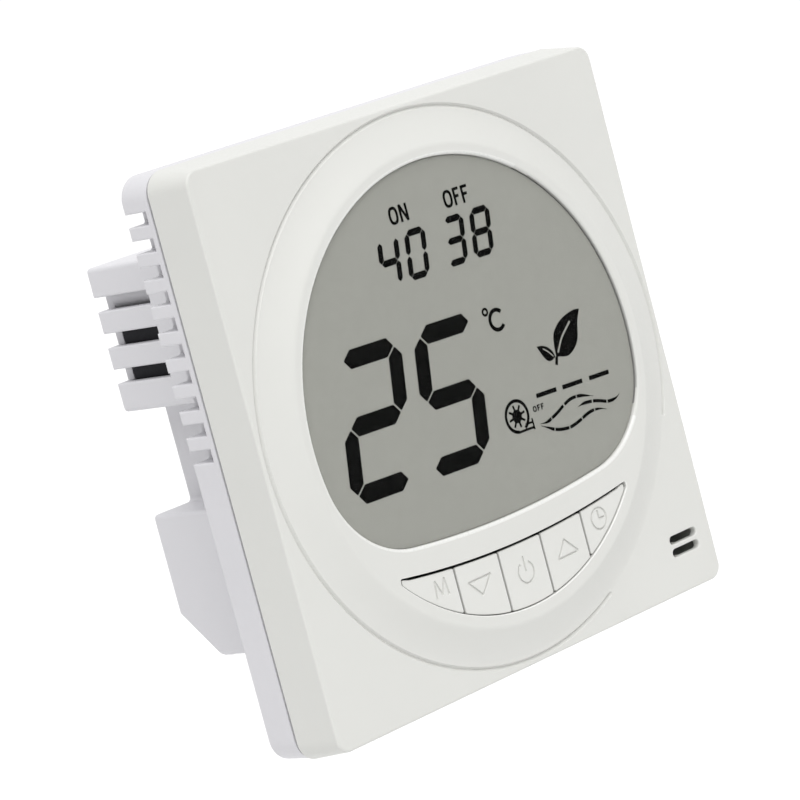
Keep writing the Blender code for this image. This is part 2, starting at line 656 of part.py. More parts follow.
def power_parts():
    """Relays, supply transformer and the mains parts on the rear side of the power board."""
    y0 = BEHIND_BOARD_Y
    for name, (x0, x1, z0) in RELAYS.items():
        add(name, bevelled_box(x0, x1, y0, y0 + RELAY_DEPTH, z0, z0 + RELAY_WIDTH), "black_plastic")
    transformer(*CORE_PLACE, y0)
    for name, place, radius, height, finish in CAPACITORS:
        can = [(radius - 0.4, y0), (radius, y0 + 0.4), (radius, y0 + height - 0.4),
               (radius - 0.4, y0 + height)]
        add(name, turned(can, place), finish)
    upright = Matrix.Rotation(math.radians(90), 4, "X")
    across = Matrix.Rotation(math.radians(90), 4, "Z")
    for name, ((x, z), radius, half), turn, finish in (("varistor", VARISTOR, upright, "blue_epoxy"),
                                                       ("fuse", FUSE, across, "ceramic")):
        body = cylinder((0.0, 0.0), radius, -half, half)
        body.transform(Matrix.Translation(Vector((x, y0 + GAP + radius, z)) * MM) @ turn)
        add(name, body, finish)


def transformer(x, z, y0):
    """Ferrite core with two windows and the taped winding around its middle leg."""
    near, far = CORE_WINDOW
    front, rear = y0 + CORE_DEPTH[0], y0 + CORE_DEPTH[1]
    core = add("transformer_core", block(x - CORE_HALF, x + CORE_HALF, front, rear,
                                         z - far - CORE_LEG, z + far + CORE_LEG), "ferrite")
    cut(core, [block(x - CORE_HALF - 1, x + CORE_HALF + 1, front + CORE_LEG, rear - CORE_LEG,
                     *sorted((z + side * near, z + side * far))) for side in (-1, 1)])
    clear = CORE_LEG + GAP
    winding = add("transformer_winding",
                  block(x - WINDING_HALF, x + WINDING_HALF, front + clear, rear - clear,
                        z - far + GAP, z + far - GAP), "winding_tape")
    cut(winding, [block(x - CORE_HALF - GAP, x + CORE_HALF + GAP, y0, rear + 1,
                        z - near - GAP, z + near + GAP)])


def bevelled_box(x0, x1, y0, y1, z0, z1, bevel=0.5):
    """A block with its four long edges and its rear edges broken."""
    def outline(inset):
        a, b, c, d = x0 + inset, x1 - inset, z0 + inset, z1 - inset
        e = bevel
        return [(a + e, c), (b - e, c), (b, c + e), (b, d - e),
                (b - e, d), (a + e, d), (a, d - e), (a, c + e)]
    return loft([(y0, outline(0)), (y1 - bevel, outline(0)), (y1, outline(bevel))])


def header_socket():
    """The tall socket on the power board that takes the front panel's pins."""
    half = PIN_COUNT * PIN_PITCH / 2 + 0.5
    body = block(-half, half, -1.5, POWER_BOARD_Y[0] - GAP, HEADER_Z - SOCKET_HALF,
                 HEADER_Z + SOCKET_HALF)
    socket = add("header_socket", body, "black_plastic")
    cut(socket, [block(x - SOCKET_BORE, x + SOCKET_BORE, -2.5, PIN_END_Y + 2.0,
                       HEADER_Z - SOCKET_BORE, HEADER_Z + SOCKET_BORE) for x in pin_places()])


# ---------------------------------------------------------------- terminals
def terminal_places():
    return [(i - (TERMINAL_COUNT - 1) / 2) * TERMINAL_PITCH for i in range(TERMINAL_COUNT)]


def slope_frame(x):
    """Matrix from an upright local y axis to the slope's inward normal, at the slope's middle."""
    middle = Vector((x, REAR_Y - CHAMFER / 2, -HOUSING_HALF + CHAMFER / 2)) * MM
    return Matrix.Translation(middle) @ Matrix.Rotation(math.radians(135), 4, "X")


def terminal_block():
    """Screw terminals along the slope: a screw well in the slope and a wire entry below each."""
    low, back, front = -HOUSING_HALF, REAR_Y, BEHIND_BOARD_Y
    profile = [(front, low + HOUSING_WALL + GAP), (front + 1.6, low), (back - CHAMFER, low),
               (back, low + CHAMFER), (back, TERMINAL_TOP), (front, TERMINAL_TOP)]
    piece = add("terminal_block", prism_x(profile, -TERMINAL_HALF, TERMINAL_HALF), "terminal_green")
    wells, entries = [], []
    for x in terminal_places():
        well = cylinder((0.0, 0.0), WELL_RADIUS, -1.0, WELL_DEPTH, 12)
        well.transform(slope_frame(x))
        wells.append(well)
        entries.append(block(x - ENTRY_HALF, x + ENTRY_HALF, *ENTRY_Y, low - 1, low + ENTRY_DEPTH))
    cut(piece, wells)
    cut(piece, entries)


def terminal_screws():
    """Eight slotted screws, each in its well with its axis square to the slope."""
    half, depth = SCREW_SLOT
    for i, x in enumerate(terminal_places(), 1):
        turn = pivot(f"terminal_screw_{i}_axis")
        turn.matrix_world = slope_frame(x)
        screw = add(f"terminal_screw_{i}", turned(TERMINAL_SCREW_PROFILE, steps=12), "nickel", turn)
        cut(screw, [block(-2.5, 2.5, 0.0, depth, -half, half)])


def main():
    for obj in list(bpy.data.objects):
        bpy.data.objects.remove(obj, do_unlink=True)
    panel = pivot("front_panel_slide")
    front_cover(panel)
    lens(panel)
    display_stack(panel)
    control_board(panel)
    pin_header(panel)
    control_parts(panel)
    keys_and_switches(panel)
    cover_screws(panel)
    rear_case()
    barrier_plate()
    case_screws()
    power_board()
    power_parts()
    header_socket()
    terminal_block()
    terminal_screws()


main()
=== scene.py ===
"""Detailed looks for the wall thermostat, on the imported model.

Lengths in the shape code are millimetres in the model's frame: +Z up, the front facing -Y, the wall
plane at y = 0.  Every piece is scaled to metres when it becomes an object.
"""
import math
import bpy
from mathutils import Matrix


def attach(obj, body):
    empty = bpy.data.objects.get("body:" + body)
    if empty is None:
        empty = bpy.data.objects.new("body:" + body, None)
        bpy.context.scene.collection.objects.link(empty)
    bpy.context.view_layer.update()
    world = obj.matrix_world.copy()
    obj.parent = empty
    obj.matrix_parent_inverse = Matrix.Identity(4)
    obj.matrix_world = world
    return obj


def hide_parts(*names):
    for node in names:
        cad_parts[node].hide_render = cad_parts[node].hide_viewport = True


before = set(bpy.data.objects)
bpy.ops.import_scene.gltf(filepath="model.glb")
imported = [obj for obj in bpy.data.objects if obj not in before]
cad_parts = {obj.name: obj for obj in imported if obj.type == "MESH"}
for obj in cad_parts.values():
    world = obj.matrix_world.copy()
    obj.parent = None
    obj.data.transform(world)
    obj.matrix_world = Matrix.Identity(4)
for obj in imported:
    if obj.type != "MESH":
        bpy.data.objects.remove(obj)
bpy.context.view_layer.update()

from types import SimpleNamespace as Sizes

import bmesh
import bpy
import numpy as np
from mathutils import Matrix, Vector

MM = 0.001

# ---- front panel dimensions
PLATE_HALF, PLATE_CORNER, PLATE_CHAMFER, PARTING_Y = 43.0, 3.3, 0.12, -6.0
CREASE_HALF, CREASE_CORNER, CREASE_FILLET = 42.15, 2.2, 0.4
FACE_Y = -13.6
INNER_FACE_Y = -11.6
HOLLOW = ((INNER_FACE_Y, 39.85, 1.1), (-5.0, 41.1, 1.65))  # y, half width and corner of the inside
DIAL_RISE, DIAL_FOOT, RIDGE_RADIUS, RIDGE_SOFTNESS = 1.95, 40.85, 35.4, 0.18
PLATFORM_Y = FACE_Y - DIAL_RISE
DIAL_RINGS = (35.0, 35.12, 35.22, 35.3, 35.38, 35.46, 35.56, 35.7, 36.0, 36.5, 37.0, 37.6, 38.2, 38.8, 39.4,
              40.0, 40.4, 40.7, 40.8, 40.84, 40.9, 41.0, 41.1, 41.15, 41.18, 41.21, 41.26, 41.36, 41.46,
              41.52, 41.56, 41.64)  # close together at the ridge and at the groove
POCKET_Y, POCKET_RADIUS = -13.55, 36.0
GROOVE_RADIUS, GROOVE_HALF, GROOVE_DEPTH = 41.18, 0.36, 0.44
GROOVE_ENDS = (-21.7, 295.0)  # degrees from +x towards +z
WINDOW = dict(radius=33.75, bottom=-19.7, sag=167.0, blend=15.2)
WINDOW_FILLET, KEY_OPENING_FILLET, KEY_FILLET = 0.5, 0.16, 0.15
# Painted light and shade on the rims of both openings: a lighter, glossier band is a painted highlight where
# they face the light; beside the window's right edge, a darker band is painted shade on the fillet and a
# near-black one is a painted shadow on the wall below it.
RIM_FINISHES = (("gloss_and_painted_highlight", (0.004, 0.4), (-24, 57), False),
                ("painted_rim_shade", (0.25, 0.5), (-16, 52), True),
                ("painted_window_shadow", (0.5, 2.0), (-20, 57), True))  # depths, directions, inside them or not
RIM_RADIUS = 34.9                     # both openings' rims are nearer the dial's centre
KEY_TOP, KEY_SAG, KEY_RADIUS = -23.72, 165.0, 33.5
KEY_DIVIDERS = (-13.8, -4.6, 4.6, 13.8)
KEY_FACE_Y, KEY_BACK_Y, KEY_RIM_Y = -15.3, -12.65, (-13.25, -12.45)
KEY_CLEARANCE = Sizes(top=0.42, bottom=0.13, side=0.18)
KEY_TIP, KEY_TIP_RADIUS, KEY_RIM = 24.55, 0.45, 0.5
ICON_STROKE, MODE_STROKE, ICON_RADIUS, ICON_DEPTH, ICON_SHIFT = 0.26, 0.34, 1.6, 0.25, 0.19
KEYS = ("mode", "down", "power", "up", "clock")
SWITCHES = ((-17.6, -26.6), (-9.2, -27.6), (0.0, -28.0), (9.2, -27.6), (17.6, -26.6))
AIR_SLOTS = Sizes(x=(32.7, 38.8), z=(-33.9, -35.9), height=1.3, flare=0.2)
AIR_RECESS = Sizes(x=(34.9, 39.6), z=(-37.3, -32.5), front=-12.5, rear=-7.9)
BOSS = Sizes(radius=2.6, front=-12.1, rear=-8.2)
BOSS_PLACES = [(x, z) for x in (-33.4, 33.4) for z in (-33.4, 33.4)]
HOOK_X, HOOK_HALF = 20.0, 3.5
LENS_FRONT_Y, LENS_BACK_Y, LCD_Y, LCD_BACK_Y = -15.05, -14.87, -14.84, -12.4
LENS_GAP, LENS_SHIFT = 0.08, -0.06  # the gap beside the window is wider on its right
LCD_FLANGE = (35.2, -13.25, -11.9)  # radius, front and rear

# ---- rear case dimensions
FLANGE = Sizes(half=42.94, corner=3.6, front=-5.62, floor=-2.0, wall=1.6)
HOUSING = Sizes(half=30.0, wall=1.5, rear=27.7, lug_x=22.4, lug_z=(-7.9, 8.0))
VENTS = Sizes(z=(24.45, 18.95, 13.5), half=1.05, rim=0.35, front=15.1, inner=-27.6)
SLOPE_Y, SLOPE_Z = 20.5, -22.8  # where the slope leaves the underside and meets the rear face
BAY = Sizes(half=25.3, front=10.1, top=-17.2)
CHEEK_WIDTH, CHEEK_OUTSIDE = 2.1, 29.6
COMB = Sizes(top=37.0, pitch=3.82, count=10, height=1.85, inner=39.62, front=-4.7, corner=0.42, lip=0.3)
COMB_BAR = Sizes(reach=1.1, outer=42.0, y=(-5.4, -1.0), above=1.6, below=1.9)
COMB_PIT = Sizes(depth=0.7, height=0.4, y=(-2.6, -0.95))
POSTS = ((-25.4, 25.2), (25.4, 25.2), (-25.4, -13.2), (25.4, -13.2))
POST = Sizes(radius=2.7, bore=1.4, front=10.4, bore_rear=21.4)
BOX_SLOT = Sizes(x=30.0, z=1.8, radius=2.2)
BEYOND = 1.0  # how far a cutter passes the surface that it opens


# ---- light and camera settings
WORLD_BRIGHT_SIDE = (0.6, 0.75, 0.3)
WORLD_STRENGTH = (0.2, 1.05)
KEY_LIGHT = Sizes(towards=(-0.33, -0.58, 0.75), strength=2.7, width=60.0, colour=(1.0, 0.998, 0.99))
CAMERA = Sizes(lens=174.05, place=(-0.38661, -0.41603, 0.07142),
               angles=(-42.8011, 7.2346, -14.8854))  # azimuth, elevation and roll in degrees
FLOOR = Sizes(half=3000.0, bottom=-260.0, top=-240.0)


# ---- materials
def adjusted(node, **values):
    """A shader node with some of its inputs set; underscores stand for the spaces in their names."""
    for name, value in values.items():
        node.inputs[name.replace("_", " ")].default_value = value
    return node


def shader(name, colour, roughness, metallic=0.0, specular=0.5):
    """A material with its Principled node; returns the material, its node tree and that node."""
    made = bpy.data.materials.new(name)
    made.use_nodes = True
    body = adjusted(made.node_tree.nodes["Principled BSDF"], Base_Color=(*colour, 1.0),
                    Roughness=roughness, Metallic=metallic, Specular_IOR_Level=specular)
    return made, made.node_tree, body


def noise(tree, scale, detail, roughness=0.55, stretch=(1, 1, 1)):
    """Noise over object coordinates; scale is in features per metre."""
    where = tree.nodes.new("ShaderNodeTexCoord")
    fit = adjusted(tree.nodes.new("ShaderNodeMapping"), Scale=stretch)
    made = adjusted(tree.nodes.new("ShaderNodeTexNoise"), Scale=scale, Detail=detail, Roughness=roughness)
    tree.links.new(where.outputs["Object"], fit.inputs["Vector"])
    tree.links.new(fit.outputs["Vector"], made.inputs["Vector"])
    return made.outputs["Fac"]


def spread(tree, source, low, high, start=0.35, stop=0.65):
    """Maps a pattern's values between start and stop to a range."""
    made = adjusted(tree.nodes.new("ShaderNodeMapRange"), From_Min=start, From_Max=stop, To_Min=low,
                    To_Max=high)
    tree.links.new(source, made.inputs["Value"])
    return made.outputs["Result"]


def tint(tree, source, dark, light, start=0.35, stop=0.65):
    """A colour that runs between two tones with a pattern."""
    made = tree.nodes.new("ShaderNodeValToRGB")
    for element, place, colour in zip(made.color_ramp.elements, (start, stop), (dark, light)):
        element.position = place
        element.color = (*colour, 1.0)
    tree.links.new(source, made.inputs["Fac"])
    return made.outputs["Color"]


def bump(tree, height, distance):
    """Relief of this depth in metres."""
    made = adjusted(tree.nodes.new("ShaderNodeBump"), Strength=1.0, Distance=distance)
    tree.links.new(height, made.inputs["Height"])
    tree.links.new(made.outputs["Normal"], tree.nodes["Principled BSDF"].inputs["Normal"])


def clouded(tree, body, pattern, colour, low, high):
    """Lets a pattern vary a colour between two shares of itself."""
    dark, light = (tuple(min(1.0, c * share) for c in colour) for share in (low, high))
    tree.links.new(tint(tree, pattern, dark, light), body.inputs["Base Color"])


def moulded(name, colour, roughness, grain=2600.0, depth=4e-6, variation=0.03, specular=0.5):
    """Moulded plastic: a slight clouding of its colour, a spark-eroded texture, uneven gloss."""
    made, tree, body = shader(name, colour, roughness, specular=specular)
    clouded(tree, body, noise(tree, 45.0, 3.0), colour, 1 - variation, 1 + variation)
    fine = noise(tree, grain, 2.0, 0.6)
    tree.links.new(spread(tree, fine, roughness - 0.06, roughness + 0.08), body.inputs["Roughness"])
    bump(tree, fine, depth)
    return made


def metal(name, colour, roughness, stretch=(1, 1, 1)):
    """Plated or drawn metal with fine marks and patchy gloss."""
    made, tree, body = shader(name, colour, roughness, metallic=1.0)
    fine = noise(tree, 900.0, 5.0, 0.65, stretch)
    clouded(tree, body, fine, colour, 0.82, 1)
    tree.links.new(spread(tree, fine, roughness - 0.08, roughness + 0.16), body.inputs["Roughness"])
    bump(tree, fine, 3e-6)
    return made


def printed(name, colour, roughness=0.9):
    """Print or liquid crystal ink: almost no gloss, barely uneven."""
    made, tree, body = shader(name, colour, roughness, specular=0.0)
    clouded(tree, body, noise(tree, 700.0, 3.0), colour, 0.985, 1.015)
    return made


def clear(name):
    """Thin clear acrylic over the display."""
    made, tree, body = shader(name, (0.05, 0.052, 0.05), 0.08, specular=0.35)
    body.inputs["Alpha"].default_value = 0.04
    tree.links.new(spread(tree, noise(tree, 60.0, 2.0), 0.06, 0.12), body.inputs["Roughness"])
    return made


def laminate(name, mask, copper):
    """Circuit board: solder mask with the copper tracks showing faintly through it."""
    made, tree, body = shader(name, mask, 0.38)
    where = tree.nodes.new("ShaderNodeTexCoord")
    tracks = adjusted(tree.nodes.new("ShaderNodeTexBrick"), Scale=95.0, Mortar_Size=0.045, Brick_Width=0.9,
                      Row_Height=0.21)
    turn = adjusted(tree.nodes.new("ShaderNodeMapping"), Rotation=(math.radians(90), 0, 0))
    tree.links.new(where.outputs["Object"], turn.inputs["Vector"])
    tree.links.new(turn.outputs["Vector"], tracks.inputs["Vector"])
    tree.links.new(tint(tree, tracks.outputs["Fac"], mask, copper, 0.2, 0.8), body.inputs["Base Color"])
    bump(tree, tracks.outputs["Fac"], 2e-5)
    return made


MATERIALS = {
    "front_shell": moulded("front_plastic", (0.60, 0.602, 0.58), 0.48, variation=0.008),
    "key_caps": moulded("key_plastic", (0.615, 0.617, 0.595), 0.5, variation=0.008),
    # Rim finishes: lower roughness with a lighter colour as a painted highlight, a darker colour as painted
    # shade, a near-black colour as a painted shadow.
    "gloss_and_painted_highlight": moulded("gloss_and_painted_highlight", (0.69, 0.692, 0.675), 0.3, variation=0.008),
    "painted_rim_shade": moulded("painted_rim_shade", (0.40, 0.402, 0.39), 0.6, variation=0.02),
    "painted_window_shadow": moulded("painted_window_shadow", (0.25, 0.25, 0.242), 0.6, variation=0.05),
    "rear_shell": moulded("rear_plastic", (0.60, 0.595, 0.62), 0.5, variation=0.012),
    # Black plastic of the chips, header and other small parts, also used as painted shade on the keys' sides
    # and in the comb's pits.
    "black_plastic": moulded("black_plastic", (0.018, 0.018, 0.020), 0.42, variation=0.15),
    "relay_plastic": moulded("relay_plastic", (0.008, 0.008, 0.012), 0.5, variation=0.15, specular=0.15),
    "terminal_green": moulded("terminal_plastic", (0.03, 0.27, 0.10), 0.42, variation=0.06),
    "diffuser": moulded("light_guide", (0.85, 0.87, 0.88), 0.35, variation=0.02),
    "contact_rubber": moulded("contact_rubber", (0.50, 0.40, 0.46), 0.75, variation=0.1),
    "ferrite": moulded("ferrite", (0.045, 0.045, 0.05), 0.55, 1400.0, 2e-5, 0.3),
    "winding_tape": moulded("winding_tape", (0.60, 0.45, 0.05), 0.4, 900.0, 1e-5, 0.08),
    "blue_epoxy": moulded("dipped_epoxy", (0.025, 0.11, 0.42), 0.28, 500.0, 2e-5, 0.12),
    "ceramic": moulded("ceramic_tube", (0.60, 0.52, 0.38), 0.35, 1200.0, 1e-5, 0.06),
    "steel": metal("nickel_steel", (0.70, 0.69, 0.66), 0.28),
    "metal_can": metal("drawn_can", (0.74, 0.74, 0.73), 0.32, (1, 0.05, 1)),
    "brass": metal("brass", (0.72, 0.56, 0.28), 0.3),
    "solder": metal("solder", (0.66, 0.67, 0.68), 0.25),
    "circuit_board": laminate("circuit_board", (0.012, 0.115, 0.045), (0.035, 0.20, 0.075)),
    "window": clear("clear_acrylic"),
    "display": printed("lcd_grey", (0.325, 0.328, 0.30), 0.6),
    "ink": printed("lcd_black", (0.0005, 0.0005, 0.0004)),
    "white_ink": printed("white_ink", (0.75, 0.76, 0.74)),
}


# ---- outlines of (x, z) points
def arc(x, z, radius, start, stop, steps):
    angles = np.radians(np.linspace(start, stop, steps + 1))
    return [(x + radius * math.cos(a), z + radius * math.sin(a)) for a in angles]


def circle(x, z, radius, steps=48):
    return arc(x, z, radius, 0, 360, steps)[:-1]


def rectangle(x0, x1, z0, z1):
    return [(x0, z0), (x1, z0), (x1, z1), (x0, z1)]


def rounded_square(half, radius, steps=8):
    inner = half - radius
    corners = ((inner, inner, 0), (-inner, inner, 90), (-inner, -inner, 180), (inner, -inner, 270))
    return [p for x, z, a in corners for p in arc(x, z, radius, a, a + 90, steps)]


def long_slot(x0, x1, z, height, steps=12):
    r = height / 2
    return arc(x1 - r, z, r, -90, 90, steps) + arc(x0 + r, z, r, 90, 270, steps)


def window_outline(radius, bottom, sag, blend, steps=40):
    """A circle cut off by a shallow arc, with blended corners."""
    centre = bottom + sag
    to_big, to_sag = radius - blend, sag - blend
    z = (to_big ** 2 - to_sag ** 2 + centre ** 2) / (2 * centre)
    x = math.sqrt(to_big ** 2 - z ** 2)
    high = math.degrees(math.atan2(z, x))
    low = math.degrees(math.atan2(z - centre, x))
    return (arc(0, 0, radius, high, 180 - high, 5 * steps)
            + arc(-x, z, blend, 180 - high, 180 - low, steps)[1:]
            + arc(0, centre, sag, -180 - low, low, 2 * steps)[1:]
            + arc(x, z, blend, low, high, steps)[1:-1])


def key_outline(x0, x1, top=0.0, bottom=0.0):
    """The part of the key opening between x0 and x1, with clearance from its two edges."""
    xs = np.linspace(x0, x1, max(8, int((x1 - x0) * 2)) + 1)
    tops = top * np.clip((KEY_TIP - abs(xs)) / 1.8, 0.6, 1)
    upper = [(x, KEY_TOP - t + KEY_SAG - math.sqrt(KEY_SAG ** 2 - x ** 2)) for x, t in zip(xs, tops)]
    lower = [(x, -math.sqrt((KEY_RADIUS - bottom) ** 2 - x ** 2)) for x in xs]
    return lower + upper[::-1]


def grow(outline, distance):
    """Moves a counter-clockwise outline outwards along its own normals."""
    p = np.array(outline)
    ahead, behind = np.roll(p, -1, 0) - p, p - np.roll(p, 1, 0)
    n = sum(np.stack([d[:, 1], -d[:, 0]], 1) / np.linalg.norm(d, axis=1, keepdims=True)
            for d in (ahead, behind))
    n /= np.maximum((n ** 2).sum(1, keepdims=True) / 2, 1e-6)
    return [tuple(q) for q in p + n * distance]


def walk(points, start, step, length):
    """The point at a length along a closed outline from one of its corners."""
    here, i = points[start], start
    while True:
        i = (i + step) % len(points)
        gap = np.linalg.norm(points[i] - here)
        if gap >= length:
            return here + (points[i] - here) * length / gap
        length -= gap
        here = points[i]


def soften(outline, radius, sharp=25.0, steps=6):
    """Rounds the sharp corners of an outline whose other points may be close together."""
    p = np.array(outline)
    ahead, behind = np.roll(p, -1, 0) - p, p - np.roll(p, 1, 0)
    turn = np.arctan2(ahead[:, 1], ahead[:, 0]) - np.arctan2(behind[:, 1], behind[:, 0])
    turn = np.abs(np.angle(np.exp(1j * turn)))
    corners = np.flatnonzero(turn > math.radians(sharp))
    longest = 2.2  # keeps the round of a very sharp corner short
    reach = radius * np.minimum(np.tan(turn / 2), longest)
    made = []
    for i, point in enumerate(p):
        if i in corners:
            a, b = walk(p, i, -1, reach[i]), walk(p, i, 1, reach[i])
            for t in np.linspace(0, 1, steps + 1):
                made.append(tuple((1 - t) ** 2 * a + 2 * t * (1 - t) * point + t ** 2 * b))
        elif all(np.linalg.norm(point - p[c]) > 1.02 * reach[c] for c in corners):
            made.append(tuple(point))
    return made


def densify(outline, spacing=2.0):
    """Extra points along an outline's long straight runs."""
    made = []
    for (x0, z0), (x1, z1) in zip(outline, outline[1:] + outline[:1]):
        n = max(1, int(math.hypot(x1 - x0, z1 - z0) / spacing))
        made += [(x0 + (x1 - x0) * i / n, z0 + (z1 - z0) * i / n) for i in range(n)]
    return made


def quarter(radius, steps, start=0, stop=90):
    """Points of a quarter round, each as its distances from the two straight sides that it joins."""
    return [(radius * (1 - math.sin(t)), radius * (1 - math.cos(t)))
            for t in np.radians(np.linspace(start, stop, steps + 1))]


def ribbon(points, widths):
    """Outline of a stroke along a line of points, with a width at each of them."""
    p = np.array(points, float)
    w = np.broadcast_to(widths, len(p)) / 2
    d = np.gradient(p, axis=0)
    if len(p) == 2:
        d = np.tile(p[1] - p[0], (2, 1))
    n = np.stack([d[:, 1], -d[:, 0]], 1) / np.linalg.norm(d, axis=1, keepdims=True)
    right, left = p + n * w[:, None], p - n * w[:, None]
    return [tuple(q) for q in right] + [tuple(q) for q in left[::-1]]


def smooth_line(points, steps=6):
    """A Catmull-Rom curve through the points."""
    p = np.array(points, float)
    p = np.vstack([2 * p[0] - p[1], p, 2 * p[-1] - p[-2]])
    made = []
    for a, b, c, d in zip(p, p[1:], p[2:], p[3:]):
        for t in np.linspace(0, 1, steps, endpoint=False):
            made.append(0.5 * (2 * b + (c - a) * t + (2 * a - 5 * b + 4 * c - d) * t * t
                               + (3 * b - a - 3 * c + d) * t ** 3))
    return np.array(made + [p[-2]])


# ---- solids in millimetres
def bridge(bm, a, b):
    """Quads between two closed loops of vertices."""
    for i in range(len(a)):
        j = (i + 1) % len(a)
        bm.faces.new((a[i], a[j], b[j], b[i]))


def add_rings(bm, rings):
    """A closed solid through rings of (x, y, z) points of equal length."""
    loops = [[bm.verts.new(point) for point in ring] for ring in rings]
    for a, b in zip(loops, loops[1:]):
        bridge(bm, a, b)
    bm.faces.new(loops[0][::-1])
    bm.faces.new(loops[-1])


def lofts(solids):
    """Closed solids in one mesh, each through (y, outline) levels of equal length."""
    bm = bmesh.new()
    for levels in solids:
        add_rings(bm, [[(x, y, z) for x, z in outline] for y, outline in levels])
    return bm


def loft(levels):
    return lofts([levels])


def slabs(outlines, y0, y1):
    """Flat solids of several outlines in one mesh."""
    return lofts([(y0, outline), (y1, outline)] for outline in outlines)


def ring_slab(bm, outer, inner, y0, y1):
    """A closed flat ring between two outlines of equal length."""
    loops = [[bm.verts.new((x, y, z)) for x, z in outline]
             for y, outline in ((y0, outer), (y0, inner), (y1, inner), (y1, outer))]
    for a, b in zip(loops, loops[1:] + loops[:1]):
        bridge(bm, a, b)


def turned(profile, x=0.0, z=0.0, steps=32):
    """A solid of (radius, y) pairs turned about the y direction."""
    return loft([(y, circle(x, z, radius, steps)) for radius, y in profile])


def box(x0, x1, y0, y1, z0, z1, bevel=0.0):
    bm = slabs([rectangle(x0, x1, z0, z1)], y0, y1)
    if bevel:
        bmesh.ops.bevel(bm, geom=bm.edges[:], offset=bevel, segments=2, profile=0.5, affect="EDGES")
    return bm


def merged(solids):
    whole = bmesh.new()
    for bm in solids:
        part = bpy.data.meshes.new("part")
        bm.to_mesh(part)
        bm.free()
        whole.from_mesh(part)
        bpy.data.meshes.remove(part)
    return whole


def moved(bm, matrix):
    bmesh.ops.transform(bm, matrix=matrix, verts=bm.verts)
    return bm


Z_FOR_Y = Matrix(((1, 0, 0, 0), (0, 0, 1, 0), (0, 1, 0, 0), (0, 0, 0, 1)))  # exchanges y and z


def carried_x(profile, x0, x1):
    """A (y, z) outline carried along x."""
    swap = Matrix(((0, 1, 0, 0), (1, 0, 0, 0), (0, 0, 1, 0), (0, 0, 0, 1)))
    return moved(loft([(x0, profile), (x1, profile)]), swap)


def to_mesh(bm):
    bmesh.ops.recalc_face_normals(bm, faces=bm.faces)
    mesh = bpy.data.meshes.new("mesh")
    bm.to_mesh(mesh)
    bm.free()
    return mesh


def placed(name, data):
    """A new object in the scene."""
    obj = bpy.data.objects.new(name, data)
    bpy.context.scene.collection.objects.link(obj)
    return obj


def solid_boolean(mesh, solids, operation):
    """The mesh with solids that don't overlap each other added or taken away."""
    base, tool = placed("base", mesh), placed("tool", to_mesh(merged(solids)))
    step = base.modifiers.new("step", "BOOLEAN")
    step.operation, step.solver, step.object = operation, "EXACT", tool
    ready = base.evaluated_get(bpy.context.evaluated_depsgraph_get())
    made = bpy.data.meshes.new_from_object(ready)
    for obj in (base, tool):
        old = obj.data
        bpy.data.objects.remove(obj)
        bpy.data.meshes.remove(old)
    return made


def cut(mesh, *solids):
    return solid_boolean(mesh, solids, "DIFFERENCE")


def join(mesh, *solids):
    return solid_boolean(mesh, solids, "UNION")


def weigh(obj, angle):
    """Smooth shading with sharp edges, and normals that leave the flat faces flat."""
    obj.data.shade_smooth()
    obj.data.set_sharp_from_angle(angle=math.radians(angle))
    step = obj.modifiers.new("flat_faces", "WEIGHTED_NORMAL")
    step.keep_sharp = True
    step.weight = 100


def piece(name, shape, finish, body, replaces=(), angle=30.0):
    """A piece of the object, from a mesh or bmesh in millimetres."""
    mesh = shape if isinstance(shape, bpy.types.Mesh) else to_mesh(shape)
    mesh.transform(Matrix.Scale(MM, 4))
    mesh.name = name
    mesh.materials.clear()
    mesh.materials.append(MATERIALS[finish])
    obj = placed(name, mesh)
    weigh(obj, angle)
    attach(obj, body)
    if replaces:
        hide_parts(*replaces)
    return obj


# ---- front cover
def ray_to_square(angle, half, corner):
    """Distance from the centre to a rounded square in a direction."""
    c, s = abs(math.cos(angle)), abs(math.sin(angle))
    c, s = max(c, s), min(c, s)
    inner = half - corner
    if s / c * half <= inner:
        return half / c
    return inner * (c + s) + math.sqrt(max(corner ** 2 - (inner * (c - s)) ** 2, 0.0))


def dial_angles():
    """One direction per degree, and more of them at the plate's corners and the groove's ends."""
    parts = [np.arange(0, 360, 1.0)]
    parts += [np.arange(a - 3.6, a + 3.6, 0.15) for a in (45, 135, 225, 315)]
    parts += [np.arange(a - 1.6, a + 1.6, 0.1) for a in GROOVE_ENDS]
    return np.radians(np.unique(np.round(np.concatenate(parts) % 360, 3)))


def dial_height(r, angles):
    """Height over the face of the raised dial and of the fine groove around it."""
    slope = DIAL_RISE * max((DIAL_FOOT - r) / (DIAL_FOOT - RIDGE_RADIUS), 0.0) ** 1.35
    gap = min(max(0.5 + (slope - DIAL_RISE) / (2 * RIDGE_SOFTNESS), 0.0), 1.0)
    height = slope + (DIAL_RISE - slope) * gap - RIDGE_SOFTNESS * gap * (1 - gap)
    away = groove_offset(r, angles)
    return height - GROOVE_DEPTH * (1 - np.clip(away / GROOVE_HALF, 0, 1) ** 1.15)


def groove_offset(r, angles):
    """Distance of the points of a circle from the centre line of the groove, or from its ends."""
    start, stop = (math.radians(a) for a in GROOVE_ENDS)
    along = (angles - start) % math.tau
    beyond = np.where(along <= stop - start, 0, np.minimum(along - stop + start, math.tau - along))
    return np.hypot(r - GROOVE_RADIUS, GROOVE_RADIUS * beyond)


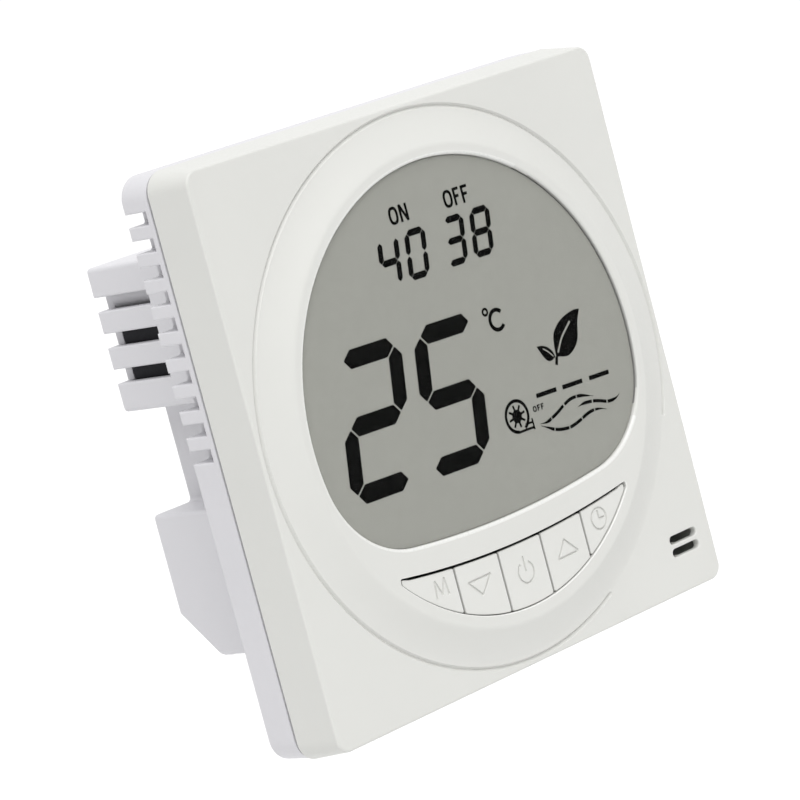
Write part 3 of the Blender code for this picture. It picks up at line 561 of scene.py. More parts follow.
def cover_shell():
    """The front plate's outside as one closed solid, before its openings are cut."""
    angles = dial_angles()
    ca, sa = np.cos(angles), np.sin(angles)
    rings = [np.stack([r * ca, FACE_Y - dial_height(r, angles), r * sa], 1) for r in DIAL_RINGS]

    def square_ring(half, corner, y):
        r = np.array([ray_to_square(a, half, corner) for a in angles])
        return np.stack([r * ca, np.full(len(r), y), r * sa], 1)

    for short, down in quarter(CREASE_FILLET, 6, 0, 84):  # the plate's slanted side takes over there
        rings.append(square_ring(CREASE_HALF - short, CREASE_CORNER - 0.75 * short, FACE_Y + down))
    for share in (0.1, 0.5, 0.9):
        half = CREASE_HALF + share * (PLATE_HALF - CREASE_HALF)
        corner = CREASE_CORNER + share * (PLATE_CORNER - CREASE_CORNER)
        foot = FACE_Y + CREASE_FILLET
        rings.append(square_ring(half, corner, foot + share * (PARTING_Y - foot)))
    rings.append(square_ring(PLATE_HALF, PLATE_CORNER, PARTING_Y - PLATE_CHAMFER))
    rings.append(square_ring(PLATE_HALF - PLATE_CHAMFER, PLATE_CORNER, PARTING_Y))
    bm = bmesh.new()
    add_rings(bm, rings)
    return to_mesh(bm)


def flared(outline, fillet, y_open, y_deep, steps=6):
    """A cutter with a rounded rim at y_open."""
    levels = [(y_open - BEYOND, grow(outline, fillet))]
    levels += [(y_open + down, grow(outline, wide)) for wide, down in quarter(fillet, steps)]
    return loft(levels + [(y_deep, outline)])


def front_cover():
    """The plate with its dial, hollowed from behind, with its openings, screw bosses and snap hooks."""
    mesh = cut(cover_shell(), loft([(y, rounded_square(half, corner)) for y, half, corner in HOLLOW]))
    mesh = cut(mesh, turned([(POCKET_RADIUS, POCKET_Y), (POCKET_RADIUS, INNER_FACE_Y + 0.5)], steps=120))
    key_opening = soften(key_outline(-KEY_TIP, KEY_TIP), KEY_TIP_RADIUS)
    mesh = cut(mesh, flared(window_outline(**WINDOW), WINDOW_FILLET, PLATFORM_Y, POCKET_Y + BEYOND),
               flared(key_opening, KEY_OPENING_FILLET, PLATFORM_Y, POCKET_Y + BEYOND, 4))
    r, front, rear = BOSS.radius, BOSS.front, BOSS.rear
    bosses = [turned([(r, front), (r, rear - 0.1), (r - 0.1, rear)], x, z, 40) for x, z in BOSS_PLACES]
    hooks = [snap_hook(x, side) for x in (-HOOK_X, HOOK_X) for side in (-1, 1)]
    mesh = join(mesh, *bosses, *hooks)
    mesh = cut(mesh, *[turned([(r / 2, front + 0.8), (r / 2, rear + 1.2)], x, z) for x, z in BOSS_PLACES])
    slots, recess = AIR_SLOTS, AIR_RECESS
    mesh = cut(mesh, *[flared(long_slot(*slots.x, z, slots.height), slots.flare, FACE_Y, recess.rear, 4)
                       for z in slots.z])
    mesh = cut(mesh, slabs([rectangle(*recess.x, *recess.z)], recess.front, recess.rear))
    cover = piece("front_cover_detail", mesh, "front_shell", "front_panel", ("front_cover",))
    # Paints the rims: the painted highlight all round except beside the window's right edge, and there the
    # painted shade and the painted shadow.
    for finish, depths, right, inside in RIM_FINISHES:
        paint(cover, finish, lambda face: on_rim(face, *depths) and at_right(face, *right) == inside)


def on_rim(face, start, stop):
    """Whether a face of the rims of the window and the keys is between two depths."""
    return (start < face.center.y / MM - PLATFORM_Y < stop
            and math.hypot(face.center.x, face.center.z) / MM < RIM_RADIUS)


def at_right(face, low, high):
    """Whether a face is beside the window's right edge, where the rim turns away from the light."""
    return low < math.degrees(math.atan2(face.center.z, face.center.x)) < high


def paint(obj, finish, chosen):
    """Gives some of a piece's faces a second material."""
    obj.data.materials.append(MATERIALS[finish])
    index = len(obj.data.materials) - 1
    for face in obj.data.polygons:
        if chosen(face):
            face.material_index = index


def snap_hook(x, side):
    """One hook, its (y, z) profile carried along x."""
    profile = [(-9.0, 39.2), (-3.1, 39.2), (-3.0, 39.3), (-3.0, 40.5), (-3.6, 40.9), (-4.4, 40.4),
               (-7.0, 40.4), (-7.0, 41.6), (-9.0, 41.6)]
    return carried_x([(y, side * z) for y, z in profile], x - HOOK_HALF, x + HOOK_HALF)


# ---- keys
def key_icon(name):
    """Engraved strokes of a key's symbol, as outlines."""
    if name == "mode":
        lines = (((-18.6, -26.75), (-18.33, -24.3)), ((-18.33, -24.2), (-17.35, -26.5)),
                 ((-17.35, -26.5), (-16.37, -24.2)), ((-16.37, -24.3), (-16.1, -26.75)))
        return [ribbon(line, MODE_STROKE) for line in lines]
    if name == "power":
        x, z = -0.17, -28.5
        arcs, lines = ((122, 270), (269, 418)), (((x, -26.1), (x, -28.4)),)
    elif name == "clock":
        x, z = 17.17, -25.6
        arcs, lines = ((0, 180), (179, 361)), (((x, z), (x, -24.35)), ((x, z), (18.35, z)))
    else:
        a, b, c = (((-12.0, -26.5), (-7.27, -26.45), (-9.65, -28.93)) if name == "down"
                   else ((8.93, -26.33), (6.93, -28.83), (11.33, -28.73)))
        return [ribbon(line, ICON_STROKE) for line in ((a, b), (b, c), (c, a))]
    curves = [arc(x, z, ICON_RADIUS, start, stop, 30) for start, stop in arcs]
    return [ribbon(line, ICON_STROKE) for line in (*curves, *lines)]


def keys():
    """Five key caps with rounded edges, each with its engraved symbol and a stem on its switch."""
    gap, tip = KEY_CLEARANCE, KEY_TIP - 0.38
    lefts = [-tip] + [x + gap.side for x in KEY_DIVIDERS]
    rights = [x - gap.side for x in KEY_DIVIDERS] + [tip]
    skirt_y = KEY_FACE_Y + 0.45
    for name, (x, z), x0, x1 in zip(KEYS, SWITCHES, lefts, rights):
        outline = soften(key_outline(x0, x1, gap.top, gap.bottom), 0.3)
        levels = [(KEY_FACE_Y + down, grow(outline, -short)) for short, down in quarter(KEY_FILLET, 5)]
        mesh = to_mesh(loft(levels + [(skirt_y, outline), (KEY_BACK_Y, outline)]))
        mesh = join(mesh, loft([(y, grow(outline, KEY_RIM)) for y in KEY_RIM_Y]))
        mesh = join(mesh, turned([(1.5, KEY_RIM_Y[1] - 0.3), (1.5, -12.25), (1.4, -12.2)], x, z))
        for stroke in key_icon(name):
            stroke = [(u + ICON_SHIFT, v) for u, v in stroke]
            wide, narrow = grow(stroke, 0.05), grow(stroke, -0.04)
            mesh = cut(mesh, loft([(KEY_FACE_Y - 0.5, wide), (KEY_FACE_Y, wide),
                                   (KEY_FACE_Y + ICON_DEPTH, narrow)]))
        key = piece(f"{name}_key_detail", mesh, "key_caps", f"{name}_key", (f"{name}_key",))
        # The key's sides below the fillet are painted black: painted shade that makes the gaps round the key
        # look dark.
        paint(key, "black_plastic", lambda face: face.center.y > (skirt_y - 0.05) * MM)


# ---- display
# Places are on the window's plane.
BIG = dict(half_width=5.2, half_height=9.43, thick=2.72, inset=0.17, turn=-1.9)
SMALL = dict(half_width=1.66, half_height=3.12, thick=0.98, inset=0.05, turn=-0.8)
DIGIT_LEAN = 0.165
DIGITS = (((-20.75, 0.55), "abged", BIG), ((-5.1, 0.0), "afgcd", BIG),
          ((-10.3, 21.1), "fgbc", SMALL), ((-4.7, 21.05), "abcdef", SMALL),
          ((3.42, 20.97), "abgcd", SMALL), ((9.02, 20.92), "abcdefg", SMALL))
LETTERS = (("O", (-8.27, -6.4), (25.96, 28.6), 0.44), ("N", (-6.08, -4.38), (26.0, 28.55), 0.44),
           ("O", (3.08, 4.96), (25.7, 28.33), 0.44), ("F", (5.25, 6.5), (25.7, 28.25), 0.44),
           ("F", (6.95, 8.3), (25.65, 28.2), 0.44), ("O", (9.98, 10.75), (-7.03, -6.15), 0.2),
           ("F", (10.95, 11.55), (-7.05, -6.2), 0.2), ("F", (11.75, 12.35), (-7.08, -6.23), 0.2))
CELSIUS, DEGREE = (7.5, 7.86), (5.48, 9.52)
WAVE_WIDTH = 0.5
DASHES, DASH = ((13.56, -4.98), (19.3, -5.25), (25.25, -5.5)), Sizes(half=2.2, width=0.67, turn=-2.2)
LEAF_VEINS = (([(18.04, -0.02), (19.67, 1.96), (22.06, 3.73)], 0.3),
              ([(15.15, 1.33), (16.1, 0.6), (16.9, -0.3)], 0.18))


def rotated(points, centre, angle):
    """Points turned counter-clockwise about a centre."""
    (u, v), c, s = centre, math.cos(math.radians(angle)), math.sin(math.radians(angle))
    return [(u + c * (x - u) - s * (z - v), v + s * (x - u) + c * (z - v)) for x, z in points]


def seven_segment(centre, lit, half_width, half_height, thick, inset, turn):
    """The lit segments of one digit: hexagons on a leaning lattice."""
    w, h, t = half_width, half_height, thick / 2
    level = {"a": h, "g": 0, "d": -h}
    upright = {"f": (-w, 0, h), "b": (w, 0, h), "e": (-w, -h, 0), "c": (w, -h, 0)}
    made = []
    for key in lit:
        if key in level:
            z, a, b = level[key], inset - w, w - inset
            outline = [(a, z), (a + t, z - t), (b - t, z - t), (b, z), (b - t, z + t), (a + t, z + t)]
        else:
            x, low, high = upright[key]
            a, b = low + inset, high - inset
            outline = [(x, a), (x + t, a + t), (x + t, b - t), (x, b), (x - t, b - t), (x - t, a + t)]
        outline = [(centre[0] + x + DIGIT_LEAN * z, centre[1] + z) for x, z in outline]
        made.append(soften(rotated(outline, centre, turn), 0.22 * thick / 2.6, steps=3))
    return made


def letter(kind, x, z, width):
    """Strokes of a plain capital letter that fills a width x and a height z; an O is letter_ring."""
    (x0, x1), (z0, z1) = x, z
    half = width / 2 / (x1 - x0)
    strokes = {"N": [((half, 0), (half, 1)), ((half, 1), (1 - half, 0)), ((1 - half, 0), (1 - half, 1))],
               "F": [((half, 0), (half, 1)), ((0, 0.94), (1, 0.94)), ((0, 0.52), (0.85, 0.52))]}
    return [ribbon([(x0 + (x1 - x0) * u, z0 + (z1 - z0) * v) for u, v in line], width)
            for line in strokes[kind]]


def letter_ring(bm, x, z, width, y0, y1):
    """An O: a ring with round ends."""
    angles = np.radians(np.linspace(0, 360, 49)[:-1])

    def oval(inset):
        points = []
        for t in angles:
            at = [(low + high) / 2 + ((high - low) / 2 - inset) * np.sign(v) * abs(v) ** 0.8
                  for (low, high), v in ((x, math.cos(t)), (z, math.sin(t)))]
            points.append(tuple(at))
        return points
    ring_slab(bm, oval(0), oval(width), y0, y1)


def wave(points, breaks):
    """A tapering wavy line with small gaps."""
    line = smooth_line(points, 14)
    share = np.linspace(0, 1, len(line))
    widths = WAVE_WIDTH * np.clip(np.minimum(share / 0.16, (1 - share) / 0.22), 0.2, 1)
    made, start = [], -math.inf
    for stop in (*breaks, math.inf):
        inside = (start + 0.07 < line[:, 0]) & (line[:, 0] < stop - 0.07)
        made.append(ribbon(line[inside], widths[inside]))
        start = stop
    return made


def lcd_print():
    """Digits and symbols of the display, as thin plates on the liquid crystal glass."""
    y0, y1 = LCD_Y - 0.02, LCD_Y
    flat = []
    for centre, lit, style in DIGITS:
        flat += seven_segment(centre, lit, **style)
    for kind, x, z, width in LETTERS:
        if kind != "O":
            flat += letter(kind, x, z, width)
    flat.append(ribbon(arc(*CELSIUS, 1.47, 40, 320, 30), 0.6))
    for x, z in DASHES:
        ends = [(x - DASH.half, z), (x + DASH.half, z)]
        flat.append(ribbon(rotated(ends, (x, z), DASH.turn), DASH.width))
    for points, breaks in WAVES:
        flat += wave(points, breaks)
    bm = slabs(flat + blower() + leaf_outlines(), y0, y1)
    for kind, x, z, width in LETTERS:
        if kind == "O":
            letter_ring(bm, x, z, width, y0, y1)
    ring_slab(bm, circle(*DEGREE, 0.66), circle(*DEGREE, 0.3), y0, y1)
    piece("display_print", shifted(bm), "ink", "front_panel")
    veins = slabs([ribbon(smooth_line(line), width) for line, width in LEAF_VEINS], y0 - 0.008, y0 + 0.004)
    piece("leaf_veins", shifted(veins), "display", "front_panel")


def shifted(bm):
    """The print was laid out on the window's plane; this moves it to the plane of the glass."""
    return moved(bm, Matrix.Translation((0.21, 0.0, -0.04)))


def leaf_outlines():
    """Two leaves, each between an upper and a lower curve, and their stem."""
    big = ([(24.67, 4.98), (23.5, 5.15), (21.75, 4.9), (20.3, 4.46), (19.04, 3.73), (18.1, 2.8), (17.7, 1.54),
            (17.52, 0.08), (17.52, -0.65)],
           [(17.52, -0.65), (18.0, -0.65), (19.04, -0.92), (20.1, -1.0), (21.3, -0.54), (22.4, 0.3),
            (23.0, 1.33), (23.4, 2.58), (23.8, 3.6), (24.67, 4.98)])
    small = ([(17.27, -0.65), (17.06, 0.3), (16.3, 1.2), (15.3, 1.75), (13.98, 1.96)],
             [(13.98, 1.96), (14.5, 0.9), (14.98, 0.0), (15.6, -0.65), (16.3, -0.8), (17.17, -0.54),
              (17.27, -0.65)])
    leaves = [[tuple(p) for line in leaf for p in smooth_line(line, 4)[:-1]] for leaf in (big, small)]
    stem = smooth_line([(18.3, 0.6), (17.6, -0.5), (17.1, -1.69)])
    return leaves + [ribbon(stem, [0.3] * 7 + [0.55] * 6)]


def blower():
    """Fan housing with its outlet and the wheel inside."""
    cx, cz = 6.46, -6.63
    made = [ribbon(arc(cx, cz, 2.31, -62, 262, 48), 0.5),
            ribbon([(5.9, -8.98), (7.6, -9.0), (9.46, -9.06)], 0.36),
            ribbon([(7.75, -8.2), (9.2, -8.26)], 0.3), ribbon([(9.3, -7.7), (9.36, -9.4)], 0.3),
            circle(cx, cz, 1.0, 32)]
    for i in range(8):
        a = math.radians(45 * i + 11)
        made.append(ribbon([(cx + 0.7 * math.cos(a), cz + 0.7 * math.sin(a)),
                            (cx + 1.75 * math.cos(a), cz + 1.75 * math.sin(a))], 0.36))
    return made


WAVES = (([(10.8, -8.98), (12.06, -9.13), (13.4, -8.83), (14.9, -8.35), (16.3, -7.77), (17.8, -7.3),
           (19.15, -7.2), (20.5, -7.37), (21.75, -7.73), (22.9, -8.08)], (13.3, 16.45, 19.45, 22.5)),
         ([(10.8, -9.3), (12.2, -10.0), (13.3, -10.54), (14.7, -10.96), (16.5, -11.17), (18, -11),
           (19.5, -10.65), (20.9, -10.27), (22.4, -10.13), (23.8, -10.33), (25, -10.75)],
          (13.4, 16.45, 19.5, 22.5)),
         ([(19.35, -8.77), (20.5, -8.63), (21.75, -8.7), (23, -8.9), (24.25, -9.25), (25.5, -9.67),
           (26.5, -9.8), (27.6, -9.7), (28.5, -9.3)], (22.5, 25.55)))  # points, and the gaps' x


def display():
    """Window plate and liquid crystal glass."""
    small = [(x + LENS_SHIFT, z) for x, z in grow(window_outline(**WINDOW), -LENS_GAP)]
    edge = 0.05
    piece("window_plate", loft([(LENS_FRONT_Y, grow(small, -edge)), (LENS_FRONT_Y + edge, small),
                                (LENS_BACK_Y, small)]), "window", "front_panel", ("lcd_lens",))
    radius, front, rear = LCD_FLANGE
    mesh = to_mesh(loft([(LCD_Y, small), (LCD_BACK_Y, small)]))
    mesh = join(mesh, turned([(radius, front), (radius, rear)], steps=96))
    piece("lcd_glass_detail", mesh, "display", "front_panel", ("lcd_glass",))
    lcd_print()


# ---- rear case
def notched_square(half, notch_x, low, high):
    """A square with a recess in its left and right sides."""
    return [(-half, -half), (half, -half), (half, low), (notch_x, low), (notch_x, high), (half, high),
            (half, half), (-half, half), (-half, high), (-notch_x, high), (-notch_x, low), (-half, low)]


def rounded_end(outline, fillet, y_start, y_end, steps=5):
    """A solid whose edge at y_end is rounded."""
    return loft([(y_start, outline)] + [(y_end - short, grow(outline, -inward))
                                        for short, inward in quarter(fillet, steps)])


def mirrored(outline):
    return [(-x, z) for x, z in outline[::-1]]


def comb_notch(z):
    """A notch of the flange's side: rounded inner corners, and a mouth that opens in two curves."""
    r, lip, half, mouth = COMB.corner, COMB.lip, COMB.height / 2, FLANGE.half
    x = COMB.inner + r
    return (arc(x, z - half + r, r, 180, 270, 6) + arc(mouth - lip, z - half - lip, lip, 90, 0, 5)
            + [(mouth + 2, z - half - lip), (mouth + 2, z + half + lip)]
            + arc(mouth - lip, z + half + lip, lip, 0, -90, 5) + arc(x, z + half - r, r, 90, 180, 6))


def both_sides(outlines):
    return outlines + [mirrored(outline) for outline in outlines]


def rear_case():
    """The flange with its comb vents and the housing behind it, with every outer edge rounded."""
    case = piece("rear_case_detail", combed(housing()), "rear_shell", "base", ("rear_case",))
    # The small pits in the comb's end walls are painted black: painted shade for the dark spots inside the
    # notches.
    paint(case, "black_plastic", in_pit)


def housing():
    """The flange and the housing in one, hollow, with posts, terminal bay and vents."""
    f, h = FLANGE, HOUSING
    half, t, rear = h.half, h.wall, h.rear
    mesh = to_mesh(rounded_end(densify(rounded_square(f.half, f.corner, 14)), 0.35, f.front, 0.0))
    outer = soften(densify(notched_square(half, h.lug_x, *h.lug_z)), 0.8)
    mesh = join(mesh, rounded_end(outer, 0.45, -1.0, rear))
    tray = rounded_square(f.half - f.wall, 2.15, 10)
    mesh = cut(mesh, slabs([tray], f.front - BEYOND, f.floor))
    inner = notched_square(half - t, h.lug_x - t, h.lug_z[0] - t, h.lug_z[1] + t)
    mesh = cut(mesh, slabs([inner], f.floor - BEYOND, rear - t))
    solid = [(POST.radius, POST.front), (POST.radius, rear - 1.0)]
    bore = [(POST.bore, POST.front - BEYOND), (POST.bore, POST.bore_rear)]
    mesh = join(mesh, *[turned(solid, x, z) for x, z in POSTS])
    mesh = cut(mesh, *[turned(bore, x, z, 24) for x, z in POSTS])
    out, back = half + BEYOND, rear + BEYOND
    mesh = cut(mesh, carried_x([(SLOPE_Y, -out), (back, -out), (back, SLOPE_Z), (rear, SLOPE_Z),
                                (SLOPE_Y, -half)], -out, out))
    mesh = cut(mesh, box(-BAY.half, BAY.half, BAY.front, back, -out, BAY.top))
    cheek = [(SLOPE_Y, -half), (rear, SLOPE_Z), (rear, SLOPE_Z + CHEEK_WIDTH), (SLOPE_Y - CHEEK_WIDTH, -half)]
    mesh = join(mesh, carried_x(cheek, BAY.half, CHEEK_OUTSIDE), carried_x(cheek, -CHEEK_OUTSIDE, -BAY.half))
    return cut(mesh, *housing_vents())


def combed(mesh):
    """The flange's two side walls thickened and cut into combs, and its floor cut for the box screws."""
    f, c, bar, pit, s = FLANGE, COMB, COMB_BAR, COMB_PIT, BOX_SLOT
    rows = [c.top - i * c.pitch for i in range(c.count)]
    bars = both_sides([rectangle(c.inner - bar.reach, bar.outer, rows[-1] - bar.below, rows[0] + bar.above)])
    mesh = join(mesh, slabs(bars, *bar.y))
    mesh = cut(mesh, slabs(both_sides([comb_notch(z) for z in rows]), c.front, BEYOND))
    low = -c.height / 2 - 0.02
    pits = [rectangle(c.inner - pit.depth, c.inner + 0.45, z + low, z + low + pit.height) for z in rows]
    mesh = cut(mesh, slabs(both_sides(pits), *pit.y))
    slots = [arc(x, s.z, s.radius, 0, 180, 16) + arc(x, -s.z, s.radius, 180, 360, 16)
             for x in (-s.x, s.x)]
    return cut(mesh, slabs(slots, f.floor - BEYOND, BEYOND))


def in_pit(face, spare=0.05):
    """Whether a face of the rear case is in one of the small pits in the comb's end walls, which are painted
    black as painted shade.
    """
    x, y, inner, (front, rear) = abs(face.center.x) / MM, face.center.y / MM, COMB.inner, COMB_PIT.y
    return inner - COMB_PIT.depth - 2 * spare < x < inner - spare and front - spare < y < rear + spare


def housing_vents():
    """Cutters of the slots that wrap round the housing's rear edges, with rounded rims."""
    half, deep = VENTS.half, HOUSING.wall + 0.2
    lower = [(-half - wide, vent_path(down, wide)) for wide, down in quarter(VENTS.rim, 4, 10)]
    levels = lower + [(z, vent_path(deep, 0)) for z in (0.01 - half, half - 0.01)]
    levels += [(-z, path) for z, path in lower[::-1]]
    return [moved(loft([(z + dz, path if side < 0 else mirrored(path)) for dz, path in levels]), Z_FOR_Y)
            for z in VENTS.z for side in (-1, 1)]


def vent_path(depth, spare):
    """Outline, seen from above, of a slot that goes this deep into the housing's side and rear face."""
    front, inner = VENTS.front - spare, VENTS.inner + spare
    side, rear = -HOUSING.half + depth, HOUSING.rear - depth
    out, back = -HOUSING.half - BEYOND, HOUSING.rear + BEYOND
    return [(out, front), (side, front), (side, rear), (inner, rear), (inner, back), (out, back)]


# ---- terminals
TERMINAL_XS = [(i - 3.5) * 6.0 for i in range(8)]  # eight of them, 6 mm apart


def slope_frame(x):
    """From an upright y axis to the inward normal of the housing's slope, at the slope's middle."""
    y, z = (SLOPE_Y + HOUSING.rear) / 2, (SLOPE_Z - HOUSING.half) / 2
    return Matrix.Translation((x, y, z)) @ Matrix.Rotation(math.radians(135), 4, "X")


def terminals():
    """The green block with its screw wells and wire entries, and the eight screws and their numbers."""
    terminal_block()
    head = [(1.3, 0.9), (1.6, 0.93), (1.74, 1.02), (1.8, 1.16), (1.8, 2.6), (1.2, 2.8), (1.2, 5.9),
            (1.0, 6.1)]
    numbers = []
    for i, (x, numeral) in enumerate(zip(TERMINAL_XS, NUMERALS), 1):
        screw = to_mesh(moved(turned(head, steps=40), slope_frame(x)))
        screw = cut(screw, moved(box(-2.5, 2.5, 0.0, 1.7, -0.35, 0.35), slope_frame(x)))
        name = f"terminal_screw_{i}"
        piece(f"{name}_detail", screw, "steel", name, (name,))
        numbers += [ribbon([(x + 0.6 - u, v - 21.5) for u, v in line], 0.24) for line in numeral]
    rear = HOUSING.rear
    piece("terminal_numbers", slabs(numbers, rear - 0.01, rear + 0.02), "white_ink", "base")


def terminal_block():
    """The block, its profile following the slope, with the wire cages in its entries."""
    half, rear, front, top = HOUSING.half, HOUSING.rear, 10.4, -17.5
    profile = soften([(front, top), (rear, top), (rear, SLOPE_Z), (SLOPE_Y, -half), (12.0, -half),
                      (front, -28.2)], 0.3, steps=3)
    block = to_mesh(carried_x(profile, -25.0, 25.0))
    well = [(2.42, -1.0), (2.42, 0.0), (2.1, 0.34), (2.1, 6.6)]
    block = cut(block, *[moved(turned(well, steps=40), slope_frame(x)) for x in TERMINAL_XS])
    for w, y0, y1, z1 in ((1.7, 16.1, 19.3, -23.0), (2.1, 15.7, 19.7, -29.6)):
        block = cut(block, *[box(x - w, x + w, y0, y1, -half - BEYOND, z1) for x in TERMINAL_XS])
    split = [(28.7, -17.0), (27.45, -17.0), (27.45, -22.9), (20.15, -30.2), (20.15, -31.4), (28.7, -31.4)]
    block = cut(block, *[carried_x(split, x + 2.86, x + 3.14) for x in TERMINAL_XS[:-1]])
    piece("terminal_block_detail", block, "terminal_green", "base", ("terminal_block",), angle=35.0)
    cages = [box(x - 1.66, x + 1.66, y, y + 0.36, -29.2, -23.1, 0.06)
             for x in TERMINAL_XS for y in (16.14, 18.9)]
    piece("wire_cages", merged(cages), "steel", "base")


NUMERALS = (
    [[(0.25, 1.6), (0.65, 2.0), (0.65, 0.0)]],
    [[(0.1, 1.5), (0.25, 1.85), (0.6, 2.0), (0.95, 1.85), (1.1, 1.5), (1.0, 1.1), (0.15, 0.08)],
     [(0.05, 0.1), (1.15, 0.1)]],
    [[(0.1, 1.75), (0.55, 2.0), (1.0, 1.7), (1.0, 1.3), (0.5, 1.08)],
     [(0.5, 1.08), (1.05, 0.85), (1.1, 0.4), (0.6, 0.0), (0.1, 0.25)]],
    [[(0.85, 0.0), (0.85, 2.0)], [(0.8, 1.95), (0.1, 0.62)], [(0.05, 0.6), (1.2, 0.6)]],
    [[(1.1, 1.95), (0.2, 1.95)], [(0.25, 2.0), (0.17, 1.15)],
     [(0.17, 1.15), (0.6, 1.3), (1.05, 1.05), (1.1, 0.5), (0.6, 0.0), (0.1, 0.2)]],
    [[(1.0, 1.85), (0.6, 2.0), (0.2, 1.5), (0.1, 0.7), (0.3, 0.1), (0.7, 0.0), (1.1, 0.3), (1.1, 0.8),
      (0.7, 1.15), (0.2, 0.9)]],
    [[(0.05, 1.95), (1.1, 1.95)], [(1.08, 1.95), (0.4, 0.0)]],
    [[(0.6, 1.1), (0.2, 1.35), (0.2, 1.8), (0.6, 2.0), (1.0, 1.8), (1.0, 1.35), (0.6, 1.1)],
     [(0.6, 1.1), (0.1, 0.75), (0.15, 0.2), (0.6, 0.0), (1.05, 0.2), (1.1, 0.75), (0.6, 1.1)]])


# ---- control board, rear side
BOARD_REAR = -6.3
CHIP = Sizes(x=-16.0, z=14.0, legs=11, pitch=0.8)
JOINTS = [(x + dx, z + dz) for x, z in SWITCHES for dx in (-3.2, 3.2) for dz in (-2.2, 2.2)]
JOINTS += [(18.0, 18.5), (22.0, 13.5), (34.0, -27.4), (34.0, -29.8), (-25.0, -19.0), (-22.5, -19.0),
           (-27.5, 28.0), (-25.0, 28.0), (25.0, 28.0), (27.5, 28.0)]
LEVEL_PARTS = [(-26.0, 6.0), (-23.0, 6.0), (-20.0, 6.0), (8.0, 12.0), (11.0, 12.0), (-12.0, -10.0),
               (-15.5, -10.0), (-19.0, -10.0), (-30.0, -4.0), (-30.0, -7.0)]
UPRIGHT_PARTS = [(-8.0, 18.0), (-8.0, 14.5), (-8.0, 11.0), (-26.5, 20.0), (-26.5, 16.5), (8.0, -8.0),
                 (5.0, -8.0), (29.5, 4.0), (29.5, 0.0), (26.5, -22.0)]
PART_BODY, PART_END, PART_END_AT = (1.0, 0.62), (0.28, 0.68), (1.05, 0.0)  # along and across the part


def board_details():
    """Solder joints, chip legs, chip parts and the legend behind the control board."""
    y = BOARD_REAR
    dot = [(0.62, y - 0.02), (0.6, y + 0.06), (0.42, y + 0.2), (0.25, y + 0.42), (0.1, y + 0.5)]
    piece("solder_joints", merged(turned(dot, x, z, 16) for x, z in JOINTS), "solder", "front_panel")
    leg = [(4.9, -5.2), (5.4, -5.2), (5.65, -6.08), (6.2, -6.08), (6.2, -6.28), (5.55, -6.28), (5.3, -5.4),
           (4.9, -5.4)]
    centre = Matrix.Translation((CHIP.x, 0, CHIP.z))
    places = [(i - (CHIP.legs - 1) / 2) * CHIP.pitch for i in range(CHIP.legs)]
    legs = [moved(loft([(place - 0.15, leg), (place + 0.15, leg)]),
                  centre @ Matrix.Rotation(math.radians(90 * side), 4, "Y") @ Z_FOR_Y)
            for side in range(4) for place in places]
    piece("chip_legs", merged(legs), "steel", "front_panel")
    chip_parts()
    board_legend()


def chip_parts():
    """The smallest parts, each a black body between two tinned ends."""
    bodies, ends = [], []
    for parts, step in ((LEVEL_PARTS, 1), (UPRIGHT_PARTS, -1)):
        (w, h), (end_w, end_h), (dx, dz) = (size[::step] for size in (PART_BODY, PART_END, PART_END_AT))
        for x, z in parts:
            bodies.append(box(x - w, x + w, BOARD_REAR, BOARD_REAR + 0.55, z - h, z + h, 0.06))
            ends += [box(x + s * dx - end_w, x + s * dx + end_w, BOARD_REAR - 0.01, BOARD_REAR + 0.6,
                         z + s * dz - end_h, z + s * dz + end_h, 0.1) for s in (-1, 1)]
    piece("chip_parts", merged(bodies), "black_plastic", "front_panel")
    piece("chip_part_ends", merged(ends), "solder", "front_panel")


def board_legend():
    """White print: rings round the sounder, the cell and the screws, squares round switches and chip."""
    x, z = CHIP.x, CHIP.z
    y0, y1, width = BOARD_REAR - 0.01, BOARD_REAR + 0.02, 0.18
    bm = slabs([circle(x - 7.6, z + 7.2, 0.4, 20)], y0, y1)
    for u, v, outer in ((20.0, 16.0, 5.1), (18.0, -14.0, 5.6), *((u, v, 2.7) for u, v in BOSS_PLACES)):
        ring_slab(bm, circle(u, v, outer), circle(u, v, outer - width), y0, y1)
    for u, v, half, corner in ((x, z, 6.9, 0.4), *((u, v, 3.9, 0.5) for u, v in SWITCHES)):
        outer = [(u + a, v + b) for a, b in rounded_square(half, corner, 4)]
        ring_slab(bm, outer, grow(outer, -width), y0, y1)
    piece("board_legend", bm, "white_ink", "front_panel")


def pin_header():
    """The strip of long square pins, their points drawn in, in a notched moulding."""
    half, z, end, top, pitch = 10.16, 3.0, 4.5, -4.1, 2.54
    places = [(i - 3.5) * pitch for i in range(8)]
    mesh = to_mesh(box(-half, half, BOARD_REAR + 0.3, top, z - 1.25, z + 1.25, 0.12))
    notches = []
    for middle in (x + pitch / 2 for x in places[:-1]):
        notches += [[(middle - 0.4, z + side * 1.3), (middle + 0.4, z + side * 1.3), (middle, z + side * 0.8)]
                    for side in (-1, 1)]
    mesh = cut(mesh, slabs(notches, BOARD_REAR, top + BEYOND))
    piece("pin_header_detail", mesh, "black_plastic", "front_panel", ("pin_header",))
    levels = ((BOARD_REAR + 0.2, 0.32), (top, 0.32), (end - 0.6, 0.32), (end, 0.14))
    pins = [loft([(y, rectangle(x - w, x + w, z - w, z + w)) for y, w in levels]) for x in places]
    piece("header_pins", merged(pins), "brass", "front_panel")


# ---- CAD nodes that stay
FINISHES = {"backlight": "diffuser", "zebra_strip": "contact_rubber", "board": "circuit_board",
            "relay": "relay_plastic", "screw": "steel", "backup_cell": "metal_can",
            "supply_capacitor": "metal_can", "transformer_core": "ferrite", "varistor": "blue_epoxy",
            "transformer_winding": "winding_tape", "fuse": "ceramic"}  # by a word of the node's name


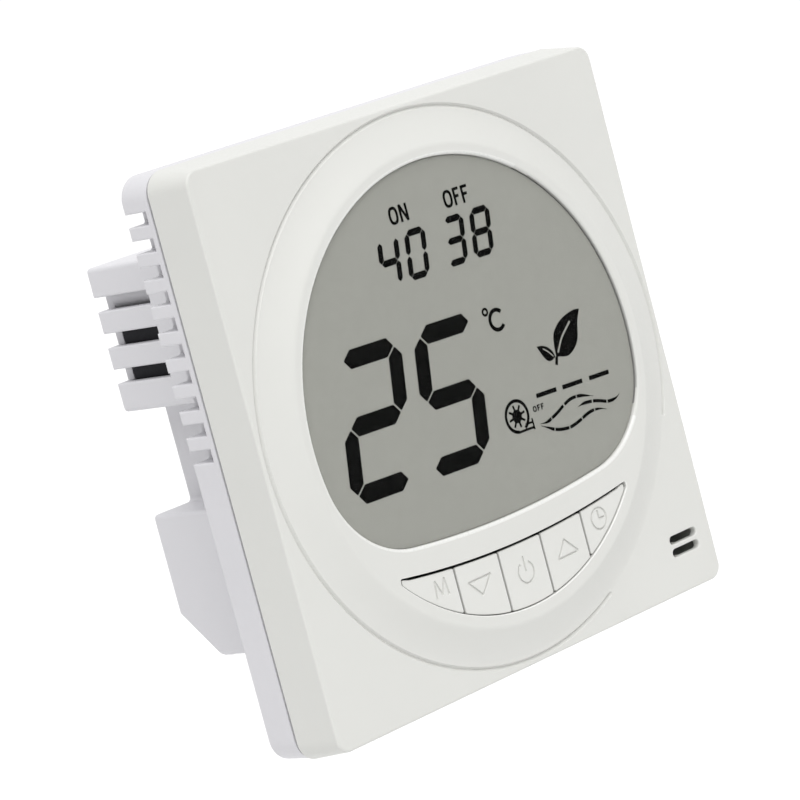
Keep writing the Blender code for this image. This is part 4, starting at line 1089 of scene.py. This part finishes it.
def keep_nodes():
    """Gives every CAD node that stays its material, and breaks its hard edges."""
    for name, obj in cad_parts.items():
        if obj.hide_render:
            continue
        finish = next((finish for word, finish in FINISHES.items() if word in name), "black_plastic")
        obj.data.materials.clear()
        obj.data.materials.append(MATERIALS[finish])
        flat = obj.modifiers.new("flat", "DECIMATE")
        flat.decimate_type = "DISSOLVE"
        flat.angle_limit = math.radians(1.0)
        edge = obj.modifiers.new("edge", "BEVEL")
        edge.width = 0.15 * MM
        edge.segments = 2
        edge.limit_method = "ANGLE"
        edge.angle_limit = math.radians(40)
        weigh(obj, 35.0)


# ---- floor, light and camera
def stage():
    """A wide white floor."""
    half = FLOOR.half
    mesh = to_mesh(box(-half, half, -half, half, FLOOR.bottom, FLOOR.top))
    mesh.transform(Matrix.Scale(MM, 4))
    mesh.materials.append(shader("floor_paper", (0.84, 0.84, 0.84), 0.9, specular=0.1)[0])
    placed("floor", mesh)


def lights():
    """A bright surround that is stronger at the rear right, and one wide key light."""
    world = bpy.data.worlds.new("studio")
    world.use_nodes = True
    tree = world.node_tree
    sky = tree.nodes["Background"]
    sky.inputs["Color"].default_value = (1.0, 1.0, 1.0, 1.0)
    where = tree.nodes.new("ShaderNodeTexCoord")
    across = tree.nodes.new("ShaderNodeVectorMath")
    across.operation = "DOT_PRODUCT"
    across.inputs[1].default_value = WORLD_BRIGHT_SIDE
    tree.links.new(where.outputs["Generated"], across.inputs[0])
    tree.links.new(spread(tree, across.outputs["Value"], *WORLD_STRENGTH, -0.6, 0.5), sky.inputs["Strength"])
    scene = bpy.context.scene
    scene.world = world
    light = bpy.data.lights.new("key_light", "SUN")
    light.energy, light.color = KEY_LIGHT.strength, KEY_LIGHT.colour
    light.angle = math.radians(KEY_LIGHT.width)
    obj = placed("key_light", light)
    towards = Vector(KEY_LIGHT.towards)
    obj.rotation_euler = towards.to_track_quat("Z", "Y").to_euler()
    obj.location = towards.normalized()
    scene.view_settings.view_transform = "Standard"
    scene.view_settings.look = "None"


def camera():
    """The photographed view: long lens, from the left and a little above, rolled by 15 degrees."""
    data = bpy.data.cameras.new("camera")
    data.lens = CAMERA.lens
    data.clip_start, data.clip_end = 0.05, 20.0
    azimuth, elevation, roll = np.radians(CAMERA.angles)
    turn = (Matrix.Rotation(azimuth, 4, "Z") @ Matrix.Rotation(math.radians(90) - elevation, 4, "X")
            @ Matrix.Rotation(roll, 4, "Z"))
    obj = placed("camera", data)
    obj.matrix_world = Matrix.Translation(CAMERA.place) @ turn
    bpy.context.scene.camera = obj


camera()
stage()
lights()
front_cover()
keys()
display()
rear_case()
terminals()
board_details()
pin_header()
keep_nodes()
